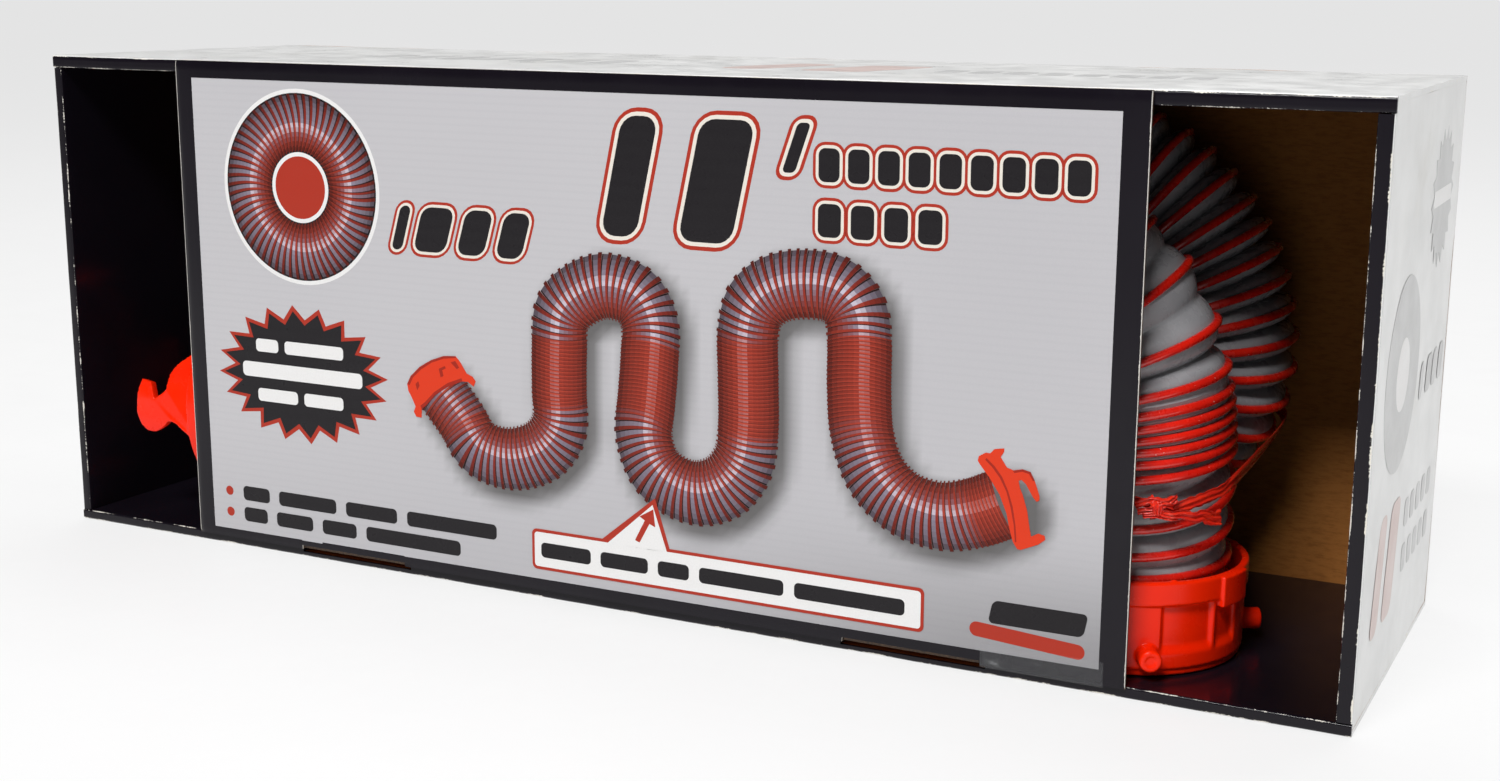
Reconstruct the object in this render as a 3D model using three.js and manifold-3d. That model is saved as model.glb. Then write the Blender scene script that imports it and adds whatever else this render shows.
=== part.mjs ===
// Sewer hose kit: an open-front corrugated carton with a drop-down front panel, and in it a
// collapsible 76 mm hose with a swivelling lug fitting on one end and a bayonet fitting on the other.
// Millimetres, +Z up, +X to the right along the carton, +Y to its back.
// The origin is at the middle of the carton's underside.

import * as THREE from "three";
import { mergeVertices } from "three/addons/utils/BufferGeometryUtils.js";
import Module from "manifold-3d";

// ---------------------------------------------------------------- driving dimensions

const CARTON_LENGTH = 662;
const CARTON_HEIGHT = 245;
const CARTON_DEPTH = 188.6;
const BOARD = 2.4; // one layer of corrugated board
const GAP = 0.3; // between pieces that touch
const LIP = 1.6; // thickness of a rolled front edge

const TOP_FLAP = 3.4; // inner layers, thicker where the board isn't crushed
const BOTTOM_FLAP = 2.4;
const LEFT_FLAP = 2.4;
const RIGHT_FLAP = 3.6;

const PANEL_LEFT = -246.5;
const PANEL_RIGHT = 242;
const PANEL_BOTTOM = 4.6;
const TAB_FROM_MIDDLE = 148.1;
const TAB_WIDTH = 62.6;
const TAB_DEPTH = 25;
const TAB_BOARD = 1.2; // crushed board
const TAB_UNDERSIDE = 5.2;
const TAB_CREASE_INSET = 1; // crease line, in from the panel's back face
const TAB_CORNER = 5;
const SLOT_SIDE_ROOM = 2; // between a tab and its slot in the bottom flap
const SLOT_BACK_ROOM = 3;
const CUT_OVERRUN = 1; // how far a cutter passes through a face
const TAPE_WIDTH = 53;
const TAPE_HEIGHT = 11;
const TAPE_THICKNESS = 0.2;
const TAPE_RIGHT = 233;

const HOSE_OUTER = 42.6; // radii, over the bead and of the bore
const HOSE_BORE = 39.6;
const HOSE_SIDES = 12;
const HOSE_STEPS = 72;

const SWIVEL_SIDES = 48;
const LUG_X = 224;
const LUG_Y = -32.5;
const LUG_HEIGHT = 40.5;
const LUG_PIN_TURN = -63.5; // degrees, direction of the front pin
const PIN_COUNT = 4; // and as many hooks on the bayonet fitting
const PIN_SIDES = 20;
const PIN_RADIUS = 4.7;
const PIN_ROOT = 47.5; // inside the ring's wall
const PIN_REACH = 58;
const PIN_LEVEL = 9.4; // above the fitting's mouth
const BAYONET_X = -255; // plane of its mouth
const BAYONET_Y = -33;
const BAYONET_Z = 64.6;
const HOOK_TURN = 3.5; // degrees, of the front hook above level
const HOOK_INNER = 53;
const HOOK_OUTER = 57.5;
const LOBE_OUTER = 57.2;
const LOBE_TOP = 10;
const LOBE_FOOT = -0.5; // a little in front of the mouth

const half = CARTON_LENGTH / 2;
const backY = CARTON_DEPTH / 2;
const tapeY = -CARTON_DEPTH / 2;
const panelY = tapeY + TAPE_THICKNESS + GAP;
const rimY = panelY + BOARD + GAP;
const layer = BOARD + GAP; // an outer layer and the gap behind it
const wallBackY = backY - layer;
const floorZ = layer + BOTTOM_FLAP;
const ceilingZ = CARTON_HEIGHT - layer - TOP_FLAP;
const lugZ = floorZ + GAP;

// The hose's centreline, from the lug fitting to the bayonet fitting. It climbs out of the lug
// fitting, runs left along the top of the front, turns back at the left end, returns along the
// back, turns down at the right end and crosses to the bottom of the front.
const HOSE_ROUTE = [
  [224, -32.5, 32.5],
  [224, -32.5, 50],
  [224.5, -34.5, 68],
  [225.5, -38.5, 88],
  [224.5, -40, 108],
  [220.5, -40.5, 129],
  [213.5, -41, 145],
  [201.5, -42, 157.5],
  [185, -42, 165],
  [160, -42, 168],
  [20, -44, 180],
  [-80, -43, 189],
  [-118, -42, 192],
  [-151, -36, 188.5],
  [-174, -20, 176.5],
  [-183, 2.5, 158],
  [-176, 25.5, 140],
  [-155, 42, 127],
  [-124, 47.6, 123],
  [-80, 46.2, 126],
  [20, 46.2, 151],
  [110, 46.2, 181],
  [144, 46.2, 189.5],
  [166, 46.2, 192],
  [189, 46.2, 188],
  [211.5, 46.2, 172.5],
  [226.5, 46.2, 148],
  [231.5, 46.2, 124],
  [229, 46.2, 103],
  [214, 46.2, 84.5],
  [191.5, 46.2, 71.5],
  [170, 46, 67],
  [146, 42, 63],
  [121, 30, 61],
  [72, -9, 58.5],
  [22, -36, 58.5],
  [-12, -40, 58.5],
  [-108, -37, 61],
  [-190, -33, 64.6],
  [-229, -33, 64.6],
];

// ---------------------------------------------------------------- solids

const wasm = await Module();
wasm.setup();

function solid(geometry) {
  const bare = geometry.index ? geometry.toNonIndexed() : geometry.clone();
  bare.deleteAttribute("normal");
  bare.deleteAttribute("uv");
  const merged = mergeVertices(bare, 1e-4);
  return new wasm.Manifold(
    new wasm.Mesh({
      numProp: 3,
      vertProperties: new Float32Array(merged.attributes.position.array),
      triVerts: new Uint32Array(merged.index.array),
    }),
  );
}

function geometryOf(manifold) {
  const mesh = manifold.getMesh();
  const geometry = new THREE.BufferGeometry();
  geometry.setAttribute("position", new THREE.BufferAttribute(mesh.vertProperties, 3));
  geometry.setIndex(new THREE.BufferAttribute(mesh.triVerts, 1));
  geometry.computeVertexNormals();
  return geometry;
}

const joined = (solids) => solids.reduce((whole, next) => whole.add(next));

// A box from its low and high corners.
function block(low, high) {
  const size = high.map((value, k) => value - low[k]);
  const geometry = new THREE.BoxGeometry(...size);
  geometry.translate(...low.map((value, k) => value + size[k] / 2));
  return solid(geometry);
}

// A closed (radius, height) outline turned about Z.
function turned(outline) {
  const points = [...outline, outline[0]].map(([r, a]) => new THREE.Vector2(r, a));
  const geometry = new THREE.LatheGeometry(points, SWIVEL_SIDES);
  geometry.rotateX(Math.PI / 2);
  return solid(geometry);
}

const ring = (inner, outer, low, high) =>
  turned([[outer, low], [outer, high], [inner, high], [inner, low]]);

// A wedge about Z between two directions, in degrees, from the axis out to a radius.
function wedge(from, to, radius, low, high) {
  const shape = new THREE.Shape();
  shape.moveTo(0, 0);
  const steps = 4;
  for (let i = 0; i <= steps; i += 1) {
    const turn = THREE.MathUtils.degToRad(from + ((to - from) * i) / steps);
    shape.lineTo(radius * Math.cos(turn), radius * Math.sin(turn));
  }
  shape.closePath();
  const geometry = new THREE.ExtrudeGeometry(shape, { depth: high - low, bevelEnabled: false });
  geometry.translate(0, 0, low);
  return solid(geometry);
}

const quarterTurns = (first) =>
  Array.from({ length: PIN_COUNT }, (_, i) => first + (360 / PIN_COUNT) * i);

// ---------------------------------------------------------------- carton

function backPanel() {
  return block([-half, backY - BOARD, 0], [half, backY, CARTON_HEIGHT]);
}

function topPanel() {
  return block([-half, rimY + LIP + GAP, CARTON_HEIGHT - BOARD], [half, wallBackY, CARTON_HEIGHT]);
}

function bottomPanel() {
  return block([-half, rimY + LIP + GAP, 0], [half, wallBackY, BOARD]);
}

function endPanel(side) {
  const low = [half - BOARD, rimY + LIP + GAP, layer];
  const high = [half, wallBackY, CARTON_HEIGHT - layer];
  return side > 0 ? block(low, high) : block([-high[0], low[1], low[2]], [-low[0], high[1], high[2]]);
}

// An inner layer with the front edge that rolls over the outer layer.
function topFlap() {
  const lip = block([-half, rimY, ceilingZ], [half, rimY + LIP, CARTON_HEIGHT]);
  const inner = half - layer;
  return lip.add(block([-inner, rimY, ceilingZ], [inner, wallBackY, CARTON_HEIGHT - layer]));
}

function bottomFlap() {
  const inner = half - layer;
  const lip = block([-half, rimY, 0], [half, rimY + LIP, floorZ]);
  const flap = lip.add(block([-inner, rimY, layer], [inner, wallBackY, floorZ]));
  return [-1, 1].reduce((rest, side) => {
    const middle = side * TAB_FROM_MIDDLE;
    const reach = TAB_WIDTH / 2 + SLOT_SIDE_ROOM;
    const slot = block(
      [middle - reach, rimY - CUT_OVERRUN, BOARD],
      [middle + reach, rimY + TAB_DEPTH + SLOT_BACK_ROOM, floorZ + CUT_OVERRUN],
    );
    return rest.subtract(slot);
  }, flap);
}

function sideFlap(side, thickness) {
  const low = floorZ + GAP;
  const high = ceilingZ - GAP;
  const inner = half - layer - thickness;
  const parts = [
    [[inner, rimY, low], [half, rimY + LIP, high]],
    [[inner, rimY, low], [half - layer, wallBackY, high]],
  ];
  return joined(
    parts.map(([a, b]) => (side > 0 ? block(a, b) : block([-b[0], a[1], a[2]], [-a[0], b[1], b[2]]))),
  );
}

// ---------------------------------------------------------------- front panel

function frontPanel() {
  const top = CARTON_HEIGHT - GAP;
  const panel = block([PANEL_LEFT, panelY, PANEL_BOTTOM], [PANEL_RIGHT, panelY + BOARD, top]);
  const notchTop = TAB_UNDERSIDE + TAB_BOARD + GAP;
  return [-1, 1].reduce((rest, side) => {
    const middle = side * TAB_FROM_MIDDLE;
    const reach = TAB_WIDTH / 2 + GAP;
    const notch = block(
      [middle - reach, panelY - CUT_OVERRUN, 0],
      [middle + reach, panelY + BOARD + CUT_OVERRUN, notchTop],
    );
    return rest.subtract(notch);
  }, panel);
}

function tuckTab(side) {
  const creaseY = panelY + BOARD - TAB_CREASE_INSET;
  const middle = side * TAB_FROM_MIDDLE;
  const reach = TAB_WIDTH / 2;
  const corner = TAB_CORNER;
  const shape = new THREE.Shape();
  shape.moveTo(middle - reach, creaseY);
  shape.lineTo(middle + reach, creaseY);
  shape.lineTo(middle + reach, creaseY + TAB_DEPTH - corner);
  shape.lineTo(middle + reach - corner, creaseY + TAB_DEPTH);
  shape.lineTo(middle - reach + corner, creaseY + TAB_DEPTH);
  shape.lineTo(middle - reach, creaseY + TAB_DEPTH - corner);
  shape.closePath();
  const geometry = new THREE.ExtrudeGeometry(shape, { depth: TAB_BOARD, bevelEnabled: false });
  geometry.translate(0, 0, TAB_UNDERSIDE);
  return solid(geometry);
}

// Clear tape over the panel's lower edge.
function tapeSeal() {
  const left = TAPE_RIGHT - TAPE_WIDTH;
  const underside = PANEL_BOTTOM - GAP - TAPE_THICKNESS;
  const front = block(
    [left, tapeY, underside],
    [TAPE_RIGHT, tapeY + TAPE_THICKNESS, underside + TAPE_HEIGHT],
  );
  const under = block(
    [left, tapeY, underside],
    [TAPE_RIGHT, panelY + BOARD, underside + TAPE_THICKNESS],
  );
  return front.add(under);
}

// ---------------------------------------------------------------- hose and its tie

function outlineOfHose(radius) {
  return Array.from({ length: HOSE_SIDES }, (_, i) => {
    const turn = (2 * Math.PI * i) / HOSE_SIDES;
    return new THREE.Vector2(radius * Math.cos(turn), radius * Math.sin(turn));
  });
}

function hoseWall() {
  const points = HOSE_ROUTE.map((p) => new THREE.Vector3(...p));
  const path = new THREE.CatmullRomCurve3(points, false, "centripetal");
  const section = new THREE.Shape(outlineOfHose(HOSE_OUTER));
  section.holes.push(new THREE.Path(outlineOfHose(HOSE_BORE)));
  return solid(
    new THREE.ExtrudeGeometry(section, { steps: HOSE_STEPS, extrudePath: path, bevelEnabled: false }),
  );
}

// A flat plastic ribbon round the two runs of hose that stand side by side at the right end. It goes
// through the eye of the rear run's bend, and is knotted in front.
const TIE_WIDTH = 4.5;
const TIE_THICKNESS = 0.4;
const TIE_REACH = HOSE_OUTER + 2; // from a run's centreline
const TIE_STEPS = 44;
// Each arc turns about a run's centreline: [x, y, z], the height it rises to, its lean and its
// directions in degrees, and how many points it has.
const TIE_ARCS = [
  { about: [225, -36.9, 76], rise: 8, lean: 0, from: -56, to: -3, steps: 5 },
  { about: [229.1, 46.2, 104.8], rise: 0, lean: -18, from: 0, to: 180, steps: 8 },
  { about: [224.9, -38.4, 96], rise: -17, lean: 0, from: 182, to: 294, steps: 7 },
];
const KNOT_TURN = -61; // degrees, direction of the knot from the front run's centreline
const KNOT_AT = [225, -37.2, 78];
const KNOT_REACH = 45.3;
const KNOT_HALF = [1.6, 9, 4.5]; // outwards, along the ribbon, up

function tieRibbon() {
  const points = TIE_ARCS.flatMap(({ about, rise, lean, from, to, steps }) =>
    Array.from({ length: steps + 1 }, (_, i) => {
      const turn = THREE.MathUtils.degToRad(from + ((to - from) * i) / steps);
      const tilt = THREE.MathUtils.degToRad(lean);
      const out = TIE_REACH * Math.cos(turn);
      return new THREE.Vector3(
        about[0] + out * Math.cos(tilt),
        about[1] + TIE_REACH * Math.sin(turn),
        about[2] + (rise * i) / steps + out * Math.sin(tilt),
      );
    }),
  );
  const path = new THREE.CatmullRomCurve3(points, false, "centripetal");
  const section = new THREE.Shape();
  const w = TIE_WIDTH / 2;
  const t = TIE_THICKNESS / 2;
  section.setFromPoints([[-w, -t], [w, -t], [w, t], [-w, t]].map(([x, y]) => new THREE.Vector2(x, y)));
  const loop = solid(
    new THREE.ExtrudeGeometry(section, { steps: TIE_STEPS, extrudePath: path, bevelEnabled: false }),
  );
  const knot = new THREE.SphereGeometry(1, 12, 8);
  knot.scale(...KNOT_HALF);
  knot.translate(KNOT_REACH, 0, 0);
  knot.rotateZ(THREE.MathUtils.degToRad(KNOT_TURN));
  knot.translate(...KNOT_AT);
  return loop.add(solid(knot));
}

// ---------------------------------------------------------------- fittings

// Radii, and heights along each fitting's axis from its mouth. The collar's flange bears on the
// ledge between low and high.
const LUG = {
  bore: 45.4,
  ledge: 42,
  low: 21.6,
  high: 26.4,
  cup: 47.3,
  foot: 48.4,
  footTop: 3,
  body: 49.4,
  rim: 50.5,
  rimHeight: 10,
};
const RECESS = { floor: 47.6, lip: 49.6, foot: 8.8, flatFrom: 13.1, cutter: 55 };
const RECESS_WINDOWS = [[6, 35], [37, 54]]; // degrees past each pin
const GRIP = { inner: 48, outer: 52, height: 13.1, from: 38.5, to: 59.5 };
const BAYONET = {
  bore: 46.6,
  ledge: 42,
  low: 20.6,
  high: 25,
  cup: 47.5,
  length: 34,
  mouthBore: 50.2,
  shoulder: 11,
  flare: 56.5,
  flareTop: 11,
  groove: 51.4,
  grooveFrom: 15,
  grooveTo: 21,
  rim: 53.4,
};
const EASE = 1; // chamfers
const WEDGE_REACH = 60; // beyond the fitting's outside
const SPIGOT_OUTER = 37.4;
const SPIGOT_BORE = 35;
const SPIGOT_REACH = 22; // past the flange, into the hose
const SPIGOT_LEAD = 1.5;
const FLANGE = 2.9;
const SEAL = 2.4;
const SEAL_ROUND = 0.7;
const RETAINER = 2.8;
const RETAINER_BORE = 40;
const RETAINER_EASE = 0.8;

function lugPin() {
  const geometry = new THREE.CylinderGeometry(PIN_RADIUS, PIN_RADIUS, PIN_REACH - PIN_ROOT, PIN_SIDES);
  geometry.rotateZ(-Math.PI / 2);
  geometry.translate((PIN_REACH + PIN_ROOT) / 2, 0, PIN_LEVEL);
  return geometry;
}

function lugRing() {
  const { bore, ledge, low, high, cup, foot, footTop, body: outer, rim } = LUG;
  const rimFoot = LUG_HEIGHT - LUG.rimHeight;
  const body = turned([
    [foot, 0],
    [foot, footTop],
    [outer, footTop + GAP],
    [outer, rimFoot],
    [rim, rimFoot],
    [rim, LUG_HEIGHT - EASE],
    [rim - EASE / 2, LUG_HEIGHT],
    [cup, LUG_HEIGHT],
    [cup, rimFoot],
    [cup - EASE, high],
    [ledge, high],
    [ledge, low],
    [bore, low],
    [bore, EASE],
    [bore + EASE, 0],
  ]);
  const recess = turned([
    [RECESS.floor, RECESS.flatFrom],
    [RECESS.lip, RECESS.foot],
    [RECESS.cutter, RECESS.foot],
    [RECESS.cutter, rimFoot],
    [RECESS.floor, rimFoot],
  ]);
  const cuts = [];
  const added = [];
  for (const turn of quarterTurns(LUG_PIN_TURN)) {
    for (const [from, to] of RECESS_WINDOWS) {
      cuts.push(wedge(turn + from, turn + to, WEDGE_REACH, 0, LUG_HEIGHT));
    }
    const grip = ring(GRIP.inner, GRIP.outer, LUG_HEIGHT - GAP - GRIP.height, LUG_HEIGHT - GAP);
    added.push(grip.intersect(wedge(turn + GRIP.from, turn + GRIP.to, WEDGE_REACH, 0, LUG_HEIGHT)));
    const pin = lugPin();
    pin.rotateZ(THREE.MathUtils.degToRad(turn));
    added.push(solid(pin));
  }
  return body.subtract(recess.intersect(joined(cuts))).add(joined(added));
}

// The sleeve that is fixed in the hose's end, with the flange that the swivelling ring turns on.
function collar({ bore, low }) {
  const flangeFoot = low - GAP - FLANGE;
  const top = low + SPIGOT_REACH;
  return turned([
    [bore - GAP, flangeFoot],
    [bore - GAP, low - GAP],
    [SPIGOT_OUTER, low - GAP],
    [SPIGOT_OUTER, top - SPIGOT_LEAD],
    [SPIGOT_OUTER - EASE, top],
    [SPIGOT_BORE, top],
    [SPIGOT_BORE, flangeFoot],
  ]);
}

function seal({ bore, low }) {
  const top = low - 2 * GAP - FLANGE;
  const [inner, outer] = [RETAINER_BORE + EASE, bore - GAP];
  const round = SEAL_ROUND;
  return turned([
    [outer - round, top - SEAL],
    [outer, top - SEAL + round],
    [outer, top - round],
    [outer - round, top],
    [inner + round, top],
    [inner, top - round],
    [inner, top - SEAL + round],
    [inner + round, top - SEAL],
  ]);
}

function retainingRing({ bore, low }) {
  const top = low - 3 * GAP - FLANGE - SEAL;
  return turned([
    [bore - GAP, top - RETAINER],
    [bore - GAP, top],
    [RETAINER_BORE, top],
    [RETAINER_BORE, top - RETAINER + RETAINER_EASE],
    [RETAINER_BORE + RETAINER_EASE, top - RETAINER],
  ]);
}

// One hook: a broad root, a neck and a head whose finger closes a slot for the other fitting's pin.
// x is out of the mouth and y is down on the front hook. A row of four has a curve's control point first.
const HOOK_START = [-6, 17];
const HOOK_OUTLINE = [
  [-6, -28],
  [0, -28],
  [8, -22],
  [14.5, -17, 14, -8],
  [22, -2.5],
  [25, -11],
  [31, -12],
  [34, -6, 34, 3],
  [34, 11, 29, 14],
  [21, 16.5, 13.5, 8.5],
  [9, 7, 4, 12],
  [0, 14.5],
];
const HOOK_CURVE_STEPS = 5;
const HOOK_SHELL = [-40, 10]; // heights that hold a whole hook
const HOOK_PRISM = [35, 65]; // radii that its wall lies between

function hookOutline() {
  const shape = new THREE.Shape();
  shape.moveTo(...HOOK_START);
  for (const row of HOOK_OUTLINE) {
    if (row.length > 2) shape.quadraticCurveTo(...row);
    else shape.lineTo(...row);
  }
  shape.closePath();
  return shape;
}

function bayonetRing() {
  const { bore, ledge, low, high, cup, length, mouthBore, shoulder } = BAYONET;
  const { flare, flareTop, groove, grooveFrom, grooveTo, rim } = BAYONET;
  const body = turned([
    [flare - EASE / 2, 0],
    [flare, EASE],
    [flare, flareTop],
    [groove, grooveFrom],
    [groove, grooveTo],
    [rim, grooveTo + EASE],
    [rim, length - EASE],
    [rim - EASE, length],
    [cup, length],
    [cup, high],
    [ledge, high],
    [ledge, low],
    [bore, low],
    [bore, shoulder],
    [mouthBore, shoulder],
    [mouthBore, EASE],
    [mouthBore + EASE, 0],
  ]);
  const shell = ring(HOOK_INNER, HOOK_OUTER, ...HOOK_SHELL);
  const prism = new THREE.ExtrudeGeometry(hookOutline(), {
    depth: HOOK_PRISM[1] - HOOK_PRISM[0],
    bevelEnabled: false,
    curveSegments: HOOK_CURVE_STEPS,
  });
  prism.translate(0, 0, HOOK_PRISM[0]);
  prism.rotateY(Math.PI / 2); // outline's x points down the axis, out of the mouth
  const hooks = quarterTurns(0).map((turn) => {
    const copy = prism.clone();
    copy.rotateZ(THREE.MathUtils.degToRad(turn));
    return solid(copy).intersect(shell);
  });
  const lobes = ring(HOOK_INNER, LOBE_OUTER, LOBE_FOOT, LOBE_TOP);
  return body.add(joined(hooks)).add(lobes);
}

const GASKET = { outer: 49.9, inner: 43, low: 8.3, high: 10.7, lip: 1.5 };

function faceGasket() {
  const { outer, inner, low, high, lip } = GASKET;
  return turned([
    [outer, low],
    [outer, high],
    [inner, high],
    [inner, low + EASE],
    [inner + lip, low],
  ]);
}

// ---------------------------------------------------------------- materials

const finish = (color, roughness, metalness = 0) =>
  new THREE.MeshStandardMaterial({ color, roughness, metalness });
const kraft = finish(0x8a6238, 0.9);
const whitePrint = finish(0xe6e4e2, 0.45);
const blackPrint = finish(0x17141a, 0.3);
const silverPrint = finish(0xc8c6ca, 0.4);
const orange = finish(0xfa3205, 0.3);
const greyWall = finish(0x969696, 0.35);
const redRibbon = finish(0xeb1e0a, 0.35);
const blackRubber = finish(0x202020, 0.7);
const clearFilm = finish(0xd8dcdf, 0.15);

// ---------------------------------------------------------------- assembly

const kit = new THREE.Group();

function piece(name, manifold, material, parent = kit) {
  const mesh = new THREE.Mesh(geometryOf(manifold), material);
  mesh.name = name;
  parent.add(mesh);
}

piece("back_panel", backPanel(), kraft);
piece("top_panel", topPanel(), whitePrint);
piece("bottom_panel", bottomPanel(), kraft);
piece("left_end_panel", endPanel(-1), whitePrint);
piece("right_end_panel", endPanel(1), whitePrint);
piece("top_flap", topFlap(), blackPrint);
piece("bottom_flap", bottomFlap(), blackPrint);
piece("left_flap", sideFlap(-1, LEFT_FLAP), blackPrint);
piece("right_flap", sideFlap(1, RIGHT_FLAP), blackPrint);
piece("front_panel", frontPanel(), silverPrint);
piece("left_tuck_tab", tuckTab(-1), blackPrint);
piece("right_tuck_tab", tuckTab(1), blackPrint);
piece("tape_seal", tapeSeal(), clearFilm);
piece("hose_wall", hoseWall(), greyWall);
piece("tie_ribbon", tieRibbon(), redRibbon);

const lugFitting = new THREE.Group();
lugFitting.position.set(LUG_X, LUG_Y, lugZ);
kit.add(lugFitting);
piece("lug_ring", lugRing(), orange, lugFitting);
piece("lug_collar", collar(LUG), orange, lugFitting);
piece("lug_seal", seal(LUG), blackRubber, lugFitting);
piece("lug_retaining_ring", retainingRing(LUG), orange, lugFitting);

const bayonetFitting = new THREE.Group();
bayonetFitting.position.set(BAYONET_X, BAYONET_Y, BAYONET_Z);
bayonetFitting.rotation.set(-THREE.MathUtils.degToRad(HOOK_TURN), Math.PI / 2, 0);
kit.add(bayonetFitting);
piece("bayonet_ring", bayonetRing(), orange, bayonetFitting);
piece("bayonet_collar", collar(BAYONET), orange, bayonetFitting);
piece("bayonet_seal", seal(BAYONET), blackRubber, bayonetFitting);
piece("bayonet_retaining_ring", retainingRing(BAYONET), orange, bayonetFitting);
piece("bayonet_face_gasket", faceGasket(), blackRubber, bayonetFitting);

export default kit;
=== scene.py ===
# Lengths are in metres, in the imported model's frame.
import math

import bmesh
import bpy
import numpy as np
from mathutils import Matrix, Vector, noise
from mathutils.geometry import delaunay_2d_cdt
from mathutils.kdtree import KDTree


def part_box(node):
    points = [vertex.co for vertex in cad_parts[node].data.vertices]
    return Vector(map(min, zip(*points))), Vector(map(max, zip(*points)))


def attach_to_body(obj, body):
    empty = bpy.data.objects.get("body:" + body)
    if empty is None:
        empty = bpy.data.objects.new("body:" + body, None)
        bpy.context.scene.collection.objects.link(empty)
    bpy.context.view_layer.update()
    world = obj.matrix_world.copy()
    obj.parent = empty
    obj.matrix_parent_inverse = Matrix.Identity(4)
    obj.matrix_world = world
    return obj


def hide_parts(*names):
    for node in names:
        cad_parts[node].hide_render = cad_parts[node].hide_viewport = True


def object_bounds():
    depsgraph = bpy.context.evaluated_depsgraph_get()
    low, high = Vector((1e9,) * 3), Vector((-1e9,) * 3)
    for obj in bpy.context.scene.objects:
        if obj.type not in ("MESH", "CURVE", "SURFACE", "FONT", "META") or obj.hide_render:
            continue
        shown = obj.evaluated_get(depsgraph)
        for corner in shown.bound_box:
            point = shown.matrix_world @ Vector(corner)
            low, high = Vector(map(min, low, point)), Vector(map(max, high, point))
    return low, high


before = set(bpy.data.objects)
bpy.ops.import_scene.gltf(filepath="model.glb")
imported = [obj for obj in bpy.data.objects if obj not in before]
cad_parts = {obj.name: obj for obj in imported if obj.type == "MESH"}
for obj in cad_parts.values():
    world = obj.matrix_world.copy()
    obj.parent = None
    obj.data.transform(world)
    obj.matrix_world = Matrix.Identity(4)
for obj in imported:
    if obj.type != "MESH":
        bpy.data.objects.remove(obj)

cad_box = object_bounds()
panel_low, panel_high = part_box("front_panel")
MM = 0.001


# ---------------------------------------------------------------- camera, light and floor

CAMERA_AT = Vector((0.446, -0.826, 0.286))
CAMERA_YAW = -0.4728  # radians; 0 looks along +Y
CAMERA_PITCH = 0.2094  # down
CAMERA_ROLL = 0.0050
CAMERA_LENS = 46.74


def make_camera():
    forward = Vector((
        math.sin(CAMERA_YAW) * math.cos(CAMERA_PITCH),
        math.cos(CAMERA_YAW) * math.cos(CAMERA_PITCH),
        -math.sin(CAMERA_PITCH),
    ))
    right = Vector((math.cos(CAMERA_YAW), -math.sin(CAMERA_YAW), 0))
    up = right.cross(forward)
    rolled_right = math.cos(CAMERA_ROLL) * right + math.sin(CAMERA_ROLL) * up
    rolled_up = math.cos(CAMERA_ROLL) * up - math.sin(CAMERA_ROLL) * right
    data = bpy.data.cameras.new("camera")
    data.lens = CAMERA_LENS
    data.sensor_width = 36
    data.clip_start = 0.02
    camera = bpy.data.objects.new("camera", data)
    turn = Matrix((rolled_right, rolled_up, -forward)).transposed().to_4x4()
    camera.matrix_world = Matrix.Translation(CAMERA_AT) @ turn
    bpy.context.scene.collection.objects.link(camera)
    bpy.context.scene.camera = camera


def area_light(name, at, towards, size, power, colour=(1, 1, 1)):
    data = bpy.data.lights.new(name, "AREA")
    data.shape = "RECTANGLE"
    data.size, data.size_y = size
    data.energy = power
    data.color = colour
    lamp = bpy.data.objects.new(name, data)
    lamp.location = at
    lamp.rotation_euler = (Vector(towards) - Vector(at)).to_track_quat("-Z", "Y").to_euler()
    bpy.context.scene.collection.objects.link(lamp)


def light_the_scene():
    area_light("key", (0.12, -1.75, 1.95), (0.04, 0, 0.09), (0.9, 0.45), 56)
    area_light("side", (2.2, 0.05, 0.95), (0.33, 0, 0.12), (0.9, 0.9), 15)
    area_light("overhead", (-0.1, 0.9, 2.1), (0, 0.3, 0), (2.4, 1.2), 32)
    world = bpy.data.worlds.new("studio")
    world.use_nodes = True
    world.node_tree.nodes["Background"].inputs["Color"].default_value = (0.93, 0.95, 1, 1)
    world.node_tree.nodes["Background"].inputs["Strength"].default_value = 0.06
    bpy.context.scene.world = world
    bpy.context.scene.view_settings.view_transform = "Standard"


# ---------------------------------------------------------------- materials

FLUTE_PITCH = 0.0062
WAVE_SCALE = 0.314  # a wave texture's scale for bands one metre apart


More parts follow.
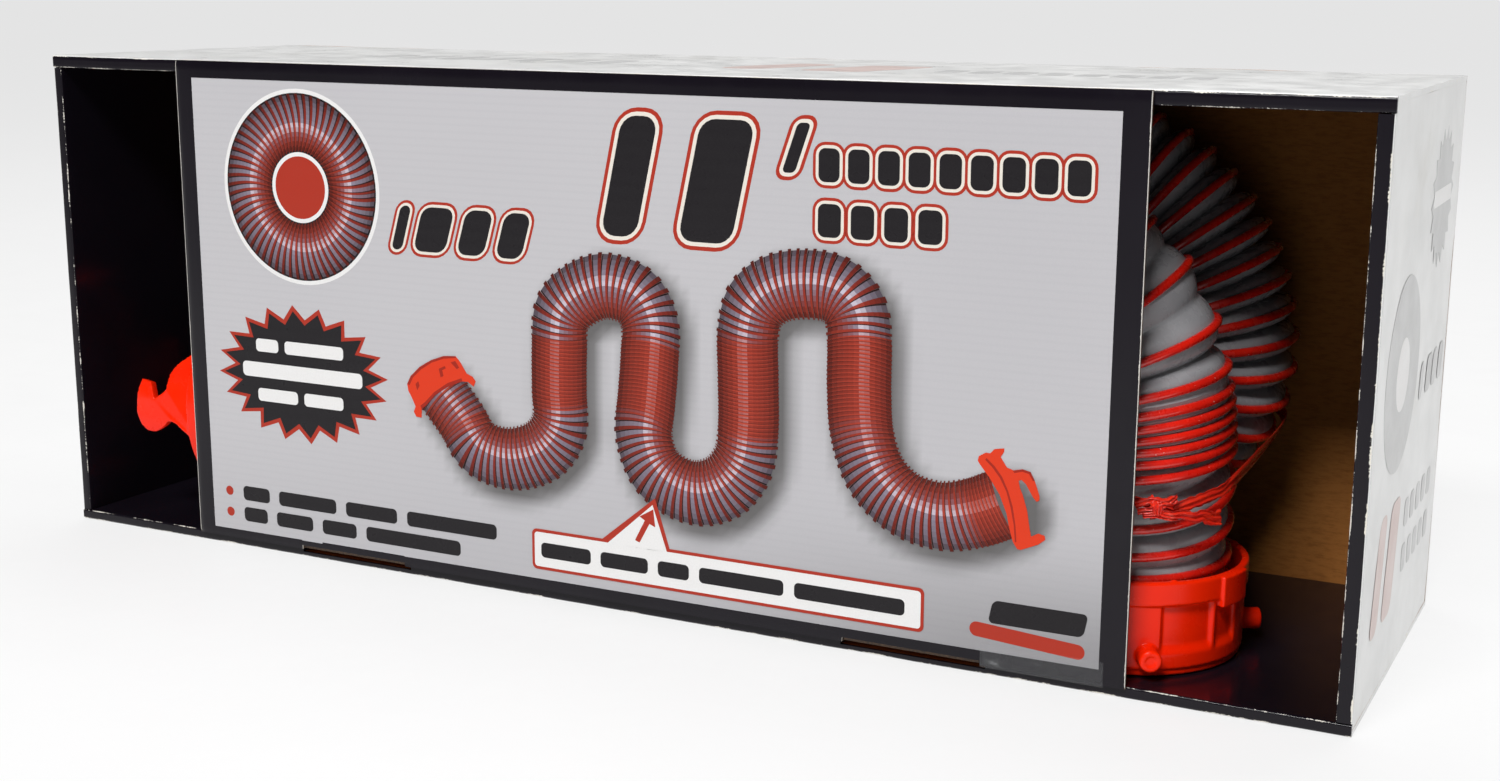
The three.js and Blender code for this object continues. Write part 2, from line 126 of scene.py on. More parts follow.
class Finish:
    """A Principled material, and short calls for the nodes that give it its detail."""

    def __init__(self, name, **constants):
        self.material = bpy.data.materials.new(name)
        self.material.use_nodes = True
        self.tree = self.material.node_tree
        self.shader = self.tree.nodes["Principled BSDF"]
        for socket, value in constants.items():
            self.shader.inputs[socket.replace("_", " ")].default_value = value
        self.place = self.node("TexCoord").outputs["Object"]
        self.normal = None

    def node(self, kind, inputs=None, **settings):
        made = self.tree.nodes.new("ShaderNode" + kind)
        for name, value in settings.items():
            setattr(made, name, value)
        for name, value in (inputs or {}).items():
            self.feed(made.inputs[name], value)
        return made

    def feed(self, socket, value):
        if isinstance(value, bpy.types.NodeSocket):
            self.tree.links.new(value, socket)
        else:
            socket.default_value = value

    def along(self, axis):
        return self.node("SeparateXYZ", {"Vector": self.place}).outputs[axis]

    def noise(self, scale, detail, roughness, stretch=None):
        place = self.place
        if stretch is not None:
            place = self.node("Mapping", {"Vector": place, "Scale": stretch}).outputs["Vector"]
        values = {"Vector": place, "Scale": scale, "Detail": detail, "Roughness": roughness}
        return self.node("TexNoise", values).outputs["Fac"]

    def range(self, value, low, high, to_low, to_high):
        values = {"Value": value, "From Min": low, "From Max": high, "To Min": to_low, "To Max": to_high}
        return self.node("MapRange", values, interpolation_type="SMOOTHSTEP").outputs["Result"]

    def math(self, operation, a, b=0.0):
        made = self.node("Math", operation=operation)
        self.feed(made.inputs[0], a)
        self.feed(made.inputs[1], b)
        return made.outputs[0]

    def mix(self, factor, a, b):
        made = self.node("Mix", data_type="RGBA")
        self.feed(made.inputs["Factor"], factor)
        for socket, value in ((made.inputs[6], a), (made.inputs[7], b)):
            self.feed(socket, value if isinstance(value, bpy.types.NodeSocket) else (*value, 1))
        return made.outputs[2]

    def attribute(self, name, output="Fac"):
        return self.node("Attribute", attribute_name=name).outputs[output]

    def bump(self, height, distance, strength=1.0):
        values = {"Height": height, "Distance": distance, "Strength": strength}
        if self.normal is not None:
            values["Normal"] = self.normal
        self.normal = self.node("Bump", values).outputs["Normal"]
        self.feed(self.shader.inputs["Normal"], self.normal)

    def colour(self, value):
        self.feed(self.shader.inputs["Base Color"], value)

    def roughness(self, value):
        self.feed(self.shader.inputs["Roughness"], value)

    def waves(self, axis, pitch):
        """From 0 to 1 and back over each pitch along an axis."""
        values = {"Vector": self.place, "Scale": WAVE_SCALE / pitch}
        return self.node("TexWave", values, bands_direction=axis).outputs["Fac"]

    def flutes(self, axis, strength, height=0.00005):
        """The board's corrugations, showing faintly through its liner."""
        self.bump(self.waves(axis, FLUTE_PITCH), height, strength)

    def scuffs(self, amount):
        """Where the print has rubbed off along edges and folds, as the wear attribute says."""
        ragged = self.math("MULTIPLY", self.noise(1100, 3, 0.65), 0.5)
        patchy = self.math("MULTIPLY", self.noise(85, 3, 0.6), 0.8)
        total = self.math("ADD", self.attribute("wear"), self.math("ADD", ragged, patchy))
        return self.range(total, 1.77 - amount, 1.82 - amount, 0, 1)


PAPER = (0.80, 0.76, 0.68)


def board_print(name, colour, roughness, flute_axis, scuff=0.08, stain=None, tone=0.04, shine=0.5):
    """Coated print on corrugated board."""
    f = Finish(name, Specular_IOR_Level=shine)
    blotches = f.noise(9, 5, 0.6)
    shade = tuple(c * (1 - 2.5 * tone) for c in colour)
    base = f.mix(f.range(blotches, 0.35, 0.7, 0, 1), colour, shade)
    if stain is not None:
        smudges = f.range(f.noise(17, 6, 0.7), 0.5, 0.8, 0, 0.4)
        base = f.mix(smudges, base, stain)
    worn = f.scuffs(scuff)
    f.colour(f.mix(worn, base, PAPER))
    glossy = f.range(f.noise(60, 4, 0.6), 0.3, 0.75, roughness * 0.8, roughness * 1.35)
    f.roughness(f.math("MAXIMUM", glossy, f.math("MULTIPLY", worn, 0.8)))
    f.flutes(flute_axis, 0.5)
    f.bump(f.noise(14, 3, 0.5), 0.0012, 0.25)
    f.bump(f.noise(900, 3, 0.6), 0.00002, 0.5)
    return f.material


def panel_field(name):
    """The front panel's silver-grey field, darker towards its lower right, with the printed shadow of the
    hose picture.
    """
    f = Finish(name, Specular_IOR_Level=0.3)
    wash = f.range(f.noise(2.4, 2, 0.5), 0.3, 0.72, 0, 1)
    base = f.mix(wash, (0.56, 0.548, 0.565), (0.50, 0.49, 0.51))
    lines = f.range(f.waves("Z", 0.0034), 0.5, 1, 0, 0.12)
    base = f.mix(lines, base, (0.42, 0.415, 0.44))
    screen = f.range(f.noise(2600, 1, 0.4), 0.35, 0.65, 0, 0.1)
    base = f.mix(screen, base, (0.38, 0.38, 0.41))
    # Darker towards the lower right corner.
    low = f.range(f.along("Z"), 0.0, 0.075, 1, 0)
    right = f.range(f.along("X"), 0.0, 0.24, 0.1, 0.7)
    base = f.mix(f.math("MULTIPLY", low, right), base, (0.15, 0.145, 0.15))
    base = f.mix(f.math("MULTIPLY", f.attribute("shadow"), 0.85), base, (0.06, 0.056, 0.052))
    f.colour(base)
    f.roughness(f.range(f.noise(40, 4, 0.6), 0.3, 0.75, 0.3, 0.4))
    f.flutes("Z", 0.6)
    f.bump(f.noise(12, 2, 0.5), 0.0004, 0.2)
    return f.material


def bare_kraft(name):
    """Brown unprinted liner, cloudy and full of fibres."""
    f = Finish(name, Specular_IOR_Level=0.2)
    fibres = f.noise(700, 4, 0.7, stretch=(0.25, 1, 1))
    cloudy = f.noise(16, 5, 0.65)
    base = f.mix(f.range(cloudy, 0.3, 0.7, 0, 1), (0.36, 0.138, 0.030), (0.31, 0.112, 0.022))
    base = f.mix(f.range(fibres, 0.4, 0.72, 0, 0.5), base, (0.16, 0.06, 0.016))
    f.colour(base)
    f.roughness(f.range(fibres, 0.3, 0.7, 0.72, 0.92))
    f.flutes("X", 0.5, 0.00006)
    f.bump(fibres, 0.00006, 0.7)
    return f.material


def cut_board(name):
    """The die-cut edge of the front panel: a pale line of torn liner, and dark crushed board behind it."""
    f = Finish(name)
    ragged = f.noise(900, 4, 0.7)
    line = f.math("ADD", f.along("Y"), f.math("MULTIPLY", ragged, 0.0005))
    front = panel_low.y
    pale = f.range(line, front + 0.0011, front + 0.00125, 1, 0)
    base = f.mix(f.range(ragged, 0.35, 0.65, 0, 1), (0.05, 0.036, 0.03), (0.15, 0.095, 0.06))
    f.colour(f.mix(pale, base, (0.66, 0.63, 0.58)))
    f.roughness(f.range(ragged, 0.3, 0.7, 0.75, 0.95))
    f.bump(ragged, 0.0002, 0.8)
    return f.material


def ink(name, colour, roughness=0.34):
    """A printed ink film: it keeps the board's faint flutes and a little mottle."""
    f = Finish(name, Specular_IOR_Level=0.16)
    mottle = f.range(f.noise(1400, 2, 0.5), 0.35, 0.7, 0, 0.16)
    f.colour(f.mix(mottle, colour, tuple(0.75 * c + 0.02 for c in colour)))
    f.roughness(f.range(f.noise(70, 3, 0.6), 0.3, 0.7, roughness * 0.85, roughness * 1.25))
    f.flutes("Z", 0.6)
    return f.material


def picture_ink(name):
    """The printed picture of a hose: its tones are in the mesh's colour attribute."""
    f = Finish(name, Specular_IOR_Level=0.16)
    mottle = f.range(f.noise(1600, 2, 0.5), 0.35, 0.7, 0, 0.12)
    tones = f.attribute("tones", "Color")
    f.colour(f.mix(mottle, tones, (0.2, 0.06, 0.05)))
    f.roughness(f.range(f.noise(70, 3, 0.6), 0.3, 0.7, 0.28, 0.4))
    f.flutes("Z", 0.6)
    return f.material


def elastomer(name):
    """The hose's soft grey wall."""
    f = Finish(name, Specular_IOR_Level=0.55)
    cloudy = f.noise(38, 4, 0.6)
    base = f.mix(f.range(cloudy, 0.3, 0.72, 0, 1), (0.36, 0.355, 0.368), (0.28, 0.275, 0.288))
    dust = f.range(f.noise(1500, 2, 0.6), 0.69, 0.76, 0, 0.5)
    f.colour(f.mix(dust, base, (0.52, 0.51, 0.5)))
    f.roughness(f.range(f.noise(120, 4, 0.6), 0.3, 0.75, 0.22, 0.38))
    f.bump(f.noise(210, 4, 0.6), 0.00022, 0.35)
    f.bump(f.noise(1200, 2, 0.5), 0.00003, 0.4)
    return f.material


def bead_plastic(name):
    """The red outer bead, glossy, with a few specks of dust."""
    f = Finish(name, Coat_Weight=0.5, Coat_Roughness=0.12)
    cloudy = f.noise(45, 4, 0.6)
    base = f.mix(f.range(cloudy, 0.3, 0.72, 0, 1), (0.80, 0.016, 0.006), (0.62, 0.010, 0.005))
    specks = f.range(f.noise(900, 2, 0.5), 0.745, 0.77, 0, 1)
    f.colour(f.mix(specks, base, (0.85, 0.62, 0.55)))
    f.roughness(f.range(f.noise(160, 4, 0.6), 0.3, 0.75, 0.2, 0.36))
    f.bump(f.noise(260, 3, 0.6), 0.00012, 0.4)
    return f.material


def moulded(name, colour, deep, roughness):
    """Injection-moulded plastic with a fine grain and faint flow marks."""
    f = Finish(name, Specular_IOR_Level=0.22)
    flow = f.noise(22, 4, 0.55, stretch=(1, 1, 2.2))
    f.colour(f.mix(f.range(flow, 0.32, 0.72, 0, 1), colour, deep))
    f.roughness(f.range(f.noise(70, 4, 0.6), 0.3, 0.75, roughness * 0.8, roughness * 1.3))
    f.bump(f.noise(480, 3, 0.6), 0.00005, 0.5)
    f.bump(f.noise(40, 2, 0.5), 0.0004, 0.2)
    return f.material


def rubber(name):
    f = Finish(name)
    grain = f.noise(700, 4, 0.7)
    f.colour(f.mix(f.range(grain, 0.35, 0.7, 0, 1), (0.018, 0.018, 0.019), (0.035, 0.034, 0.034)))
    f.roughness(f.range(grain, 0.3, 0.7, 0.5, 0.75))
    f.bump(grain, 0.00005, 0.6)
    return f.material


def film(name):
    """Thin red plastic ribbon, streaked along its length and whitened in patches."""
    f = Finish(name, Coat_Weight=0.4, Coat_Roughness=0.1)
    streaks = f.noise(620, 3, 0.6, stretch=(0.12, 0.12, 1))
    pale = f.range(f.noise(300, 4, 0.7), 0.6, 0.75, 0, 0.5)
    base = f.mix(f.range(streaks, 0.35, 0.7, 0, 1), (0.90, 0.035, 0.012), (0.62, 0.012, 0.006))
    f.colour(f.mix(pale, base, (0.95, 0.3, 0.22)))
    f.roughness(f.range(streaks, 0.3, 0.7, 0.2, 0.42))
    f.bump(streaks, 0.0002, 0.6)
    return f.material


def clear_film(name):
    """Clear tape that shows mostly by its shine, with a few creases turned whiter and less clear: painted
    glints of light on its wrinkles.
    """
    f = Finish(name, Base_Color=(0.7, 0.72, 0.73, 1))
    # Painted glints: along these creases the tape is drawn paler and more opaque, standing in for light
    # caught on its wrinkles.
    crease_glints = f.noise(70, 4, 0.6, stretch=(0.5, 1, 1.6))
    f.feed(f.shader.inputs["Alpha"], f.range(crease_glints, 0.58, 0.72, 0.03, 0.16))
    f.roughness(f.range(f.noise(55, 4, 0.6), 0.3, 0.75, 0.07, 0.22))
    f.bump(f.noise(34, 4, 0.6), 0.0006, 0.35)
    return f.material


def studio_floor(name):
    """A pale sweep that glows with painted light of its own, falling off a little well in front of the
    carton.
    """
    f = Finish(name, Emission_Color=(1, 1, 1, 1))
    # Painted light: the floor's own emission, strongest near the carton and weaker well in front of it,
    # lights the scene from below.
    lit = f.range(f.along("Y"), -1.1, -0.42, 0.36, 0.76)
    f.feed(f.shader.inputs["Emission Strength"], lit)
    f.colour(f.mix(f.noise(5, 3, 0.5), (0.15, 0.15, 0.15), (0.17, 0.17, 0.17)))
    f.roughness(f.range(f.noise(30, 3, 0.5), 0.3, 0.7, 0.6, 0.75))
    return f.material


WHITE = board_print("white_print", (0.79, 0.79, 0.78), 0.36, "Z", 0.1, stain=(0.62, 0.6, 0.55))
WHITE_TOP = board_print("white_print_top", (0.79, 0.79, 0.78), 0.34, "Y", 0.1, stain=(0.6, 0.585, 0.54))
BLACK = board_print("black_print", (0.008, 0.006, 0.010), 0.2, "X", 0.1, tone=0.1, shine=0.24)
SILVER = panel_field("silver_print")
KRAFT = bare_kraft("kraft_board")
CUT = cut_board("cut_board")
INK_BLACK = ink("ink_black", (0.016, 0.014, 0.016), 0.3)
INK_RED = ink("ink_red", (0.42, 0.035, 0.018))
INK_CREAM = ink("ink_cream", (0.80, 0.74, 0.66))
INK_WHITE = ink("ink_white", (0.82, 0.81, 0.80))
INK_ORANGE = ink("ink_orange", (0.72, 0.045, 0.012))
INK_SHADE = ink("ink_shade", (0.36, 0.022, 0.010))
INK_PALE_GREY = ink("ink_pale_grey", (0.58, 0.58, 0.575))
INK_PALE_RED = ink("ink_pale_red", (0.66, 0.54, 0.51))
PICTURE = picture_ink("ink_picture")
WALL = elastomer("grey_elastomer")
BEAD = bead_plastic("red_bead")
ORANGE = moulded("orange_plastic", (1.0, 0.022, 0.0005), (0.96, 0.015, 0.0005), 0.26)
RUBBER = rubber("black_rubber")
RIBBON = film("red_film")
TAPE = clear_film("clear_tape")
FLOOR = studio_floor("studio_floor")


# ---------------------------------------------------------------- meshes

def new_object(name, points, faces, materials=()):
    mesh = bpy.data.meshes.new(name)
    mesh.from_pydata([tuple(p) for p in points], [], [tuple(f) for f in faces])
    for material in materials:
        mesh.materials.append(material)
    made = bpy.data.objects.new(name, mesh)
    bpy.context.scene.collection.objects.link(made)
    return made


def turn_outwards(made, merge=None, collapse=None):
    """Turns a mesh's normals outwards, after merging points and dropping collapsed faces if asked to."""
    edited = bmesh.new()
    edited.from_mesh(made.data)
    if merge:
        bmesh.ops.remove_doubles(edited, verts=edited.verts, dist=merge)
    if collapse:
        bmesh.ops.dissolve_degenerate(edited, edges=edited.edges, dist=collapse)
        loose = [v for v in edited.verts if not v.link_faces]
        bmesh.ops.delete(edited, geom=loose, context="VERTS")
    bmesh.ops.recalc_face_normals(edited, faces=edited.faces)
    edited.to_mesh(made.data)
    edited.free()


def piece(name, points, faces, materials, body, slot, replaces=()):
    """A new smooth piece from points and faces, riding on a CAD body."""
    made = new_object(name, points, faces, materials)
    turn_outwards(made, merge=1e-6)
    made.data.shade_smooth()
    return attach(made, body, replaces)


def attach(made, body, replaces=()):
    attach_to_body(made, body)
    if replaces:
        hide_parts(*replaces)
    return made


def sharp_over(made, degrees):
    """Keeps the smooth shading from running over edges sharper than this."""
    made.data.set_sharp_from_angle(angle=math.radians(degrees))
    return made


def applied(made):
    """Turns the modifiers into plain mesh."""
    graph = bpy.context.evaluated_depsgraph_get()
    mesh = bpy.data.meshes.new_from_object(made.evaluated_get(graph))
    made.modifiers.clear()
    made.data = mesh
    return made


def grid_faces(rows, columns, close_rows=False, close_columns=False):
    """Quads over a grid of points numbered row by row."""
    faces = []
    for i in range(rows if close_rows else rows - 1):
        for j in range(columns if close_columns else columns - 1):
            a, b = i, (i + 1) % rows
            c, d = j, (j + 1) % columns
            faces.append((a * columns + c, a * columns + d, b * columns + d, b * columns + c))
    return faces


def sheet_faces(rows, columns):
    """Faces of a thin closed sheet: a grid of points, the same grid again behind it, and the sides."""
    half = rows * columns
    front = grid_faces(rows, columns)
    back = [tuple(k + half for k in reversed(face)) for face in front]
    loop = [i * columns for i in range(rows)] + [(rows - 1) * columns + j for j in range(1, columns)]
    loop += [i * columns + columns - 1 for i in range(rows - 2, -1, -1)] + list(range(columns - 2, 0, -1))
    return front + back + [(a, b, b + half, a + half) for a, b in zip(loop, loop[1:] + loop[:1])]


def tube_faces(rows, columns):
    """Faces of a closed tube of points, row by row, with a cap at each end."""
    last = (rows - 1) * columns
    caps = [tuple(range(columns)), tuple(range(last, last + columns))]
    return grid_faces(rows, columns, False, True) + caps


def merged(solids):
    """Several solids' points and faces as one."""
    points, faces = [], []
    for some_points, some_faces in solids:
        offset = len(points)
        points.extend(some_points)
        faces.extend(tuple(k + offset for k in face) for face in some_faces)
    return points, faces


def smoothstep(value, low, high):
    t = np.clip((np.asarray(value, float) - low) / (high - low), 0, 1)
    return t * t * (3 - 2 * t)


def wobble(point, size, seed=0.0):
    """Smooth noise from -1 to 1 that changes over about this many metres."""
    return noise.noise(Vector(point) / size + Vector((seed, seed * 1.7, -seed)))


def rounded(outline, radii, wear=None, steps=4):
    """An outline with rounded corners, as (u, v, wear) rows. wear is 1 on the worn corners."""
    rows = []
    count = len(outline)
    for i, corner in enumerate(outline):
        here = Vector(corner)
        before = (Vector(outline[i - 1]) - here).normalized()
        after = (Vector(outline[(i + 1) % count]) - here).normalized()
        radius, worn = radii[i], 1.0 if wear is None else wear[i]
        if radius <= 0:
            rows.append((*here, worn))
            continue
        half = before.angle(after) / 2
        reach = radius / math.tan(half)
        centre = here + (before + after).normalized() * (radius / math.sin(half))
        start, end = here + before * reach - centre, here + after * reach - centre
        sweep = start.angle_signed(end)
        for k in range(steps + 1):
            turned = start.copy()
            turned.rotate(Matrix.Rotation(-sweep * k / steps, 2))
            rows.append((*(centre + turned), worn * (0.6 + 0.4 * math.sin(math.pi * k / steps))))
    return rows


def lathe(name, outline, axis, materials, body, slot, replaces=(), steps=128, bevel=0.0003):
    """A closed (radius, height) outline, its corners eased, turned about an axis matrix."""
    rows = rounded(outline, [bevel] * len(outline), steps=2)
    points = []
    for i in range(steps):
        turn = 2 * math.pi * i / steps
        for r, a, _ in rows:
            points.append(axis @ Vector((r * math.cos(turn), r * math.sin(turn), a)))
    faces = grid_faces(steps, len(rows), True, True)
    made = piece(name, points, faces, materials, body, slot, replaces)
    return sharp_over(made, 40)


def fused(name, solids, voxel, materials, body, slot, replaces=()):
    """One closed skin round several overlapping closed solids, its edges softly rounded."""
    made = piece(name, *merged(solids), materials, body, slot, replaces)
    remesh = made.modifiers.new("skin", "REMESH")
    remesh.mode = "VOXEL"
    remesh.voxel_size = voxel
    ease = made.modifiers.new("ease", "SMOOTH")
    ease.factor, ease.iterations = 0.5, 3
    applied(made)
    made.data.shade_smooth()
    return made


# ---------------------------------------------------------------- hose

# The centreline, from the lug fitting to the bayonet fitting.
HOSE_ROUTE = [
    (0.2240, -0.0325, 0.0325),
    (0.2240, -0.0325, 0.0500),
    (0.2245, -0.0345, 0.0680),
    (0.2255, -0.0385, 0.0880),
    (0.2245, -0.0400, 0.1080),
    (0.2205, -0.0405, 0.1290),
    (0.2135, -0.0410, 0.1450),
    (0.2015, -0.0420, 0.1575),
    (0.1850, -0.0420, 0.1650),
    (0.1600, -0.0420, 0.1680),
    (0.0200, -0.0440, 0.1800),
    (-0.0800, -0.0430, 0.1890),
    (-0.1180, -0.0420, 0.1920),
    (-0.1510, -0.0360, 0.1885),
    (-0.1740, -0.0200, 0.1765),
    (-0.1830, 0.0025, 0.1580),
    (-0.1760, 0.0255, 0.1400),
    (-0.1550, 0.0420, 0.1270),
    (-0.1240, 0.0476, 0.1230),
    (-0.0800, 0.0462, 0.1260),
    (0.0200, 0.0462, 0.1510),
    (0.1100, 0.0462, 0.1810),
    (0.1440, 0.0462, 0.1895),
    (0.1660, 0.0462, 0.1920),
    (0.1890, 0.0462, 0.1880),
    (0.2115, 0.0462, 0.1725),
    (0.2265, 0.0462, 0.1480),
    (0.2315, 0.0462, 0.1240),
    (0.2275, 0.0462, 0.1035),
    (0.2140, 0.0462, 0.0845),
    (0.1915, 0.0462, 0.0715),
    (0.1700, 0.0460, 0.0670),
    (0.1460, 0.0420, 0.0630),
    (0.1210, 0.0300, 0.0610),
    (0.0720, -0.0090, 0.0585),
    (0.0220, -0.0360, 0.0585),
    (-0.0120, -0.0400, 0.0585),
    (-0.1080, -0.0370, 0.0610),
    (-0.1900, -0.0330, 0.0646),
    (-0.2290, -0.0330, 0.0646),
]
WALL_RADIUS = 0.0406
WALL_THICKNESS = 0.00064
WALL_HALF = 0.0116  # flat width of half a fold, from bead to crease
LEAST_FOLD = 0.0036  # the crease stays, even where the hose is drawn out
BEAD_RADIUS = 0.0412
BEAD_HALF_WIDTH = 0.0019
BEAD_HEIGHT = 0.0022
DEEPEST_FOLD = 0.0092
BULGE = 0.0009  # of the wall between two beads that are pressed together
PRESSED, FREE = 0.0064, 0.0086  # gaps between beads where the wall is squeezed out, and folds in
TURN_STEPS = 44
BEAD_SIDES = 10
# How many turns the bead has made by each place along the centreline.
TURN_STOPS = [
    (0.0000, 0.20),
    (0.0115, 1.30),
    (0.0260, 2.30),
    (0.0434, 3.30),
    (0.0605, 4.30),
    (0.0646, 5.30),
    (0.0688, 6.30),
    (0.0728, 7.30),
    (0.0768, 8.30),
    (0.0812, 9.30),
    (0.0868, 10.30),
    (0.0992, 11.30),
    (0.1150, 12.30),
    (0.1280, 13.30),
    (0.170, 17.3),
    (0.260, 24.8),
    (0.450, 40.0),
    (0.640, 55.8),
    (0.930, 80.0),
    (0.970, 84.0),
    (1.130, 102.8),
    (1.200, 109.8),
    (1.530, 137.3),
    (1.560, 140.3),
]


def smooth_route(points, per_span=40):
    """Points on the centripetal Catmull-Rom curve through these points."""
    p = np.array(points, float)
    p = np.vstack([2 * p[0] - p[1], p, 2 * p[-1] - p[-2]])
    t = np.linspace(0, 1, per_span, endpoint=False)[:, None]
    rows = []
    for i in range(1, len(p) - 2):
        a, b, c, d = p[i - 1 : i + 3]
        before, here, after = (np.linalg.norm(v) ** 0.5 for v in (b - a, c - b, d - c))
        leave = ((b - a) / before - (c - a) / (before + here) + (c - b) / here) * here
        arrive = ((c - b) / here - (d - b) / (here + after) + (d - c) / after) * here
        rows.append(
            (2 * t**3 - 3 * t**2 + 1) * b
            + (t**3 - 2 * t**2 + t) * leave
            + (3 * t**2 - 2 * t**3) * c
            + (t**3 - t**2) * arrive
        )
    return np.vstack([*rows, p[-2]])


class Line:
    """A curve sampled evenly, with its tangents, a frame that doesn't twist, and its bend."""

    def __init__(self, points, samples):
        raw = smooth_route(points)
        along = np.concatenate([[0], np.cumsum(np.linalg.norm(np.diff(raw, axis=0), axis=1))])
        self.length = along[-1]
        self.s = np.linspace(0, self.length, samples)
        self.at = np.stack([np.interp(self.s, along, raw[:, k]) for k in range(3)], axis=1)
        tangent = np.gradient(self.at, self.s, axis=0)
        self.tangent = tangent / np.linalg.norm(tangent, axis=1)[:, None]
        bend = np.gradient(self.tangent, self.s, axis=0)
        window = np.ones(25) / 25
        self.bend = np.stack([np.convolve(bend[:, k], window, "same") for k in range(3)], axis=1)
        side = np.cross(self.tangent[0], (0, 1, 0))
        sides = []
        for t in self.tangent:
            side = side - t * (side @ t)
            side /= np.linalg.norm(side)
            sides.append(side)
        self.side = np.array(sides)
        self.up = np.cross(self.tangent, self.side)

    def values(self, rows, s):
        return np.stack([np.interp(s, self.s, rows[:, k]) for k in range(rows.shape[1])], axis=-1)

    def outward(self, s, turn):
        side, up = self.values(self.side, s), self.values(self.up, s)
        return side * np.cos(turn)[..., None] + up * np.sin(turn)[..., None]


def hose_phase(line):
    """The bead's pitch and its turning angle along the centreline."""
    stops = np.array(TURN_STOPS)
    phase = 2 * math.pi * np.interp(line.s, stops[:, 0], stops[:, 1])
    ends = np.pad(phase, 2, "reflect", reflect_type="odd")
    phase = np.convolve(ends, np.ones(5) / 5, "valid")
    return 2 * math.pi / np.gradient(phase, line.s), phase


def pitch_at(line, pitch, s, outward):
    """The gap between two turns on one side of the hose: wider outside a bend, narrower inside."""
    bend = line.values(line.bend, s)
    spread = 1 - WALL_RADIUS * np.sum(bend * outward, axis=-1)
    return np.interp(s, line.s, pitch) * np.clip(spread, 0.25, 2.2)


def make_hose():
    line = Line(HOSE_ROUTE, 1800)
    pitch, phase = hose_phase(line)
    step = 2 * math.pi / TURN_STEPS
    angle = np.arange(math.ceil(phase[0] / step), int(phase[-1] / step) + 1) * step

    # The wall is a strip that winds with the bead: each row of points crosses from one turn of the
    # bead to the next, over a lobe, a crease and a lobe.
    ridge = np.interp(angle, phase, line.s)
    gap = pitch_at(line, pitch, ridge, line.outward(ridge, angle))
    half = gap / 2
    covered = np.minimum(BEAD_HALF_WIDTH, 0.34 * gap)
    uneven = np.array([wobble((a * 0.004, b * 0.35, 0), 0.02) for a, b in zip(angle, ridge)])
    fold = np.sqrt(np.maximum(WALL_HALF**2 - half**2, LEAST_FOLD**2)) * (0.86 + 0.3 * uneven)
    near_end = np.minimum(ridge, line.length - ridge)
    fold = np.minimum(fold, 0.0018 + 0.009 * smoothstep(near_end, 0.012, 0.024))
    fold = np.minimum(fold, DEEPEST_FOLD)
    pressed = 1 - smoothstep(gap, PRESSED, FREE)

    # Half a strip: from under the bead to the crease, as shares of the gap and of the fold's depth.
    lobe = (0.0, 0.3, 0.62, 0.86, 1.0)
    shares = [0 * gap] + [(covered + share * (half - covered)) / gap for share in lobe]
    depths = [0.0] + [share**2.3 for share in lobe]
    shares += [1 - share for share in shares[-2::-1]]
    depths += depths[-2::-1]
    columns = len(shares) - 1
    squeeze = [1.0 - abs(2 * k / columns - 1) for k in range(columns)]
    points = []
    for k in range(columns):
        at_phase = np.clip(angle + 2 * math.pi * shares[k], 0, phase[-1])
        s = np.interp(at_phase, phase, line.s)
        outward = line.outward(s, angle)
        folded = WALL_RADIUS - fold * depths[k]
        bulged = WALL_RADIUS + BULGE * squeeze[k]
        radius = folded * (1 - pressed) + bulged * pressed
        points.append(line.values(line.at, s) + outward * radius[:, None])
    count = len(angle)
    grid = np.stack(points, axis=1).reshape(-1, 3)
    faces = []
    for j in range(count - 1):
        for k in range(columns):
            a, b = j * columns + k, (j + 1) * columns + k
            if k < columns - 1:
                faces.append((a, b, b + 1, a + 1))
            elif j + 1 + TURN_STEPS < count:
                c = (j + TURN_STEPS) * columns
                faces.append((a, b, c + columns, c))
    wall = piece("hose", grid, faces, [WALL], "carton", "grey_elastomer", ["hose_wall"])
    turn_outwards(wall, merge=2e-5, collapse=1e-5)
    shell = wall.modifiers.new("thickness", "SOLIDIFY")
    shell.thickness, shell.offset = WALL_THICKNESS, -1
    shell.use_even_offset = False

    # The bead runs along every ridge.
    narrow = np.minimum(BEAD_HALF_WIDTH, 0.35 * gap)
    centre = line.values(line.at, ridge)
    out = line.outward(ridge, angle)
    tangent = line.values(line.tangent, ridge)
    rings = []
    for k in range(BEAD_SIDES):
        turn = 2 * math.pi * k / BEAD_SIDES
        reach = BEAD_RADIUS + BEAD_HEIGHT * math.cos(turn)
        rings.append(centre + out * reach + tangent * (narrow * math.sin(turn))[:, None])
    grid = np.stack(rings, axis=1).reshape(-1, 3)
    bead = piece("hose_bead", grid, tube_faces(count, BEAD_SIDES), [BEAD], "carton", "red_bead")
    return line, wall, bead


# ---------------------------------------------------------------- fittings

PIN_TURN = -63.5
PIN_RADIUS = 0.0047
PIN_REACH = 0.058
PIN_LEVEL = 0.0094
LUG_HEIGHT = 0.0405
HOOK_TURN = math.radians(3.5)
LUG = {"bore": 0.0454, "ledge": 0.042, "low": 0.0216, "high": 0.0264, "cup": 0.0473}
BAYONET = {"bore": 0.0466, "ledge": 0.042, "low": 0.0206, "high": 0.025, "cup": 0.0475}
BAYONET_LENGTH = 0.034


def middle(node):
    low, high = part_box(node)
    return (low + high) / 2


def lug_axis():
    """From the lug fitting's own frame, mouth down at height 0, to the part's."""
    at = middle("lug_collar")
    return Matrix.Translation((at.x, at.y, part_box("lug_ring")[0].z))


def bayonet_axis():
    """From the bayonet fitting's own frame to the part's: its mouth looks along -X."""
    at = middle("bayonet_collar")
    mouth = middle("bayonet_ring").x
    turn = Matrix.Rotation(-HOOK_TURN, 4, "X") @ Matrix.Rotation(math.pi / 2, 4, "Y")
    return Matrix.Translation((mouth, at.y, at.z)) @ turn


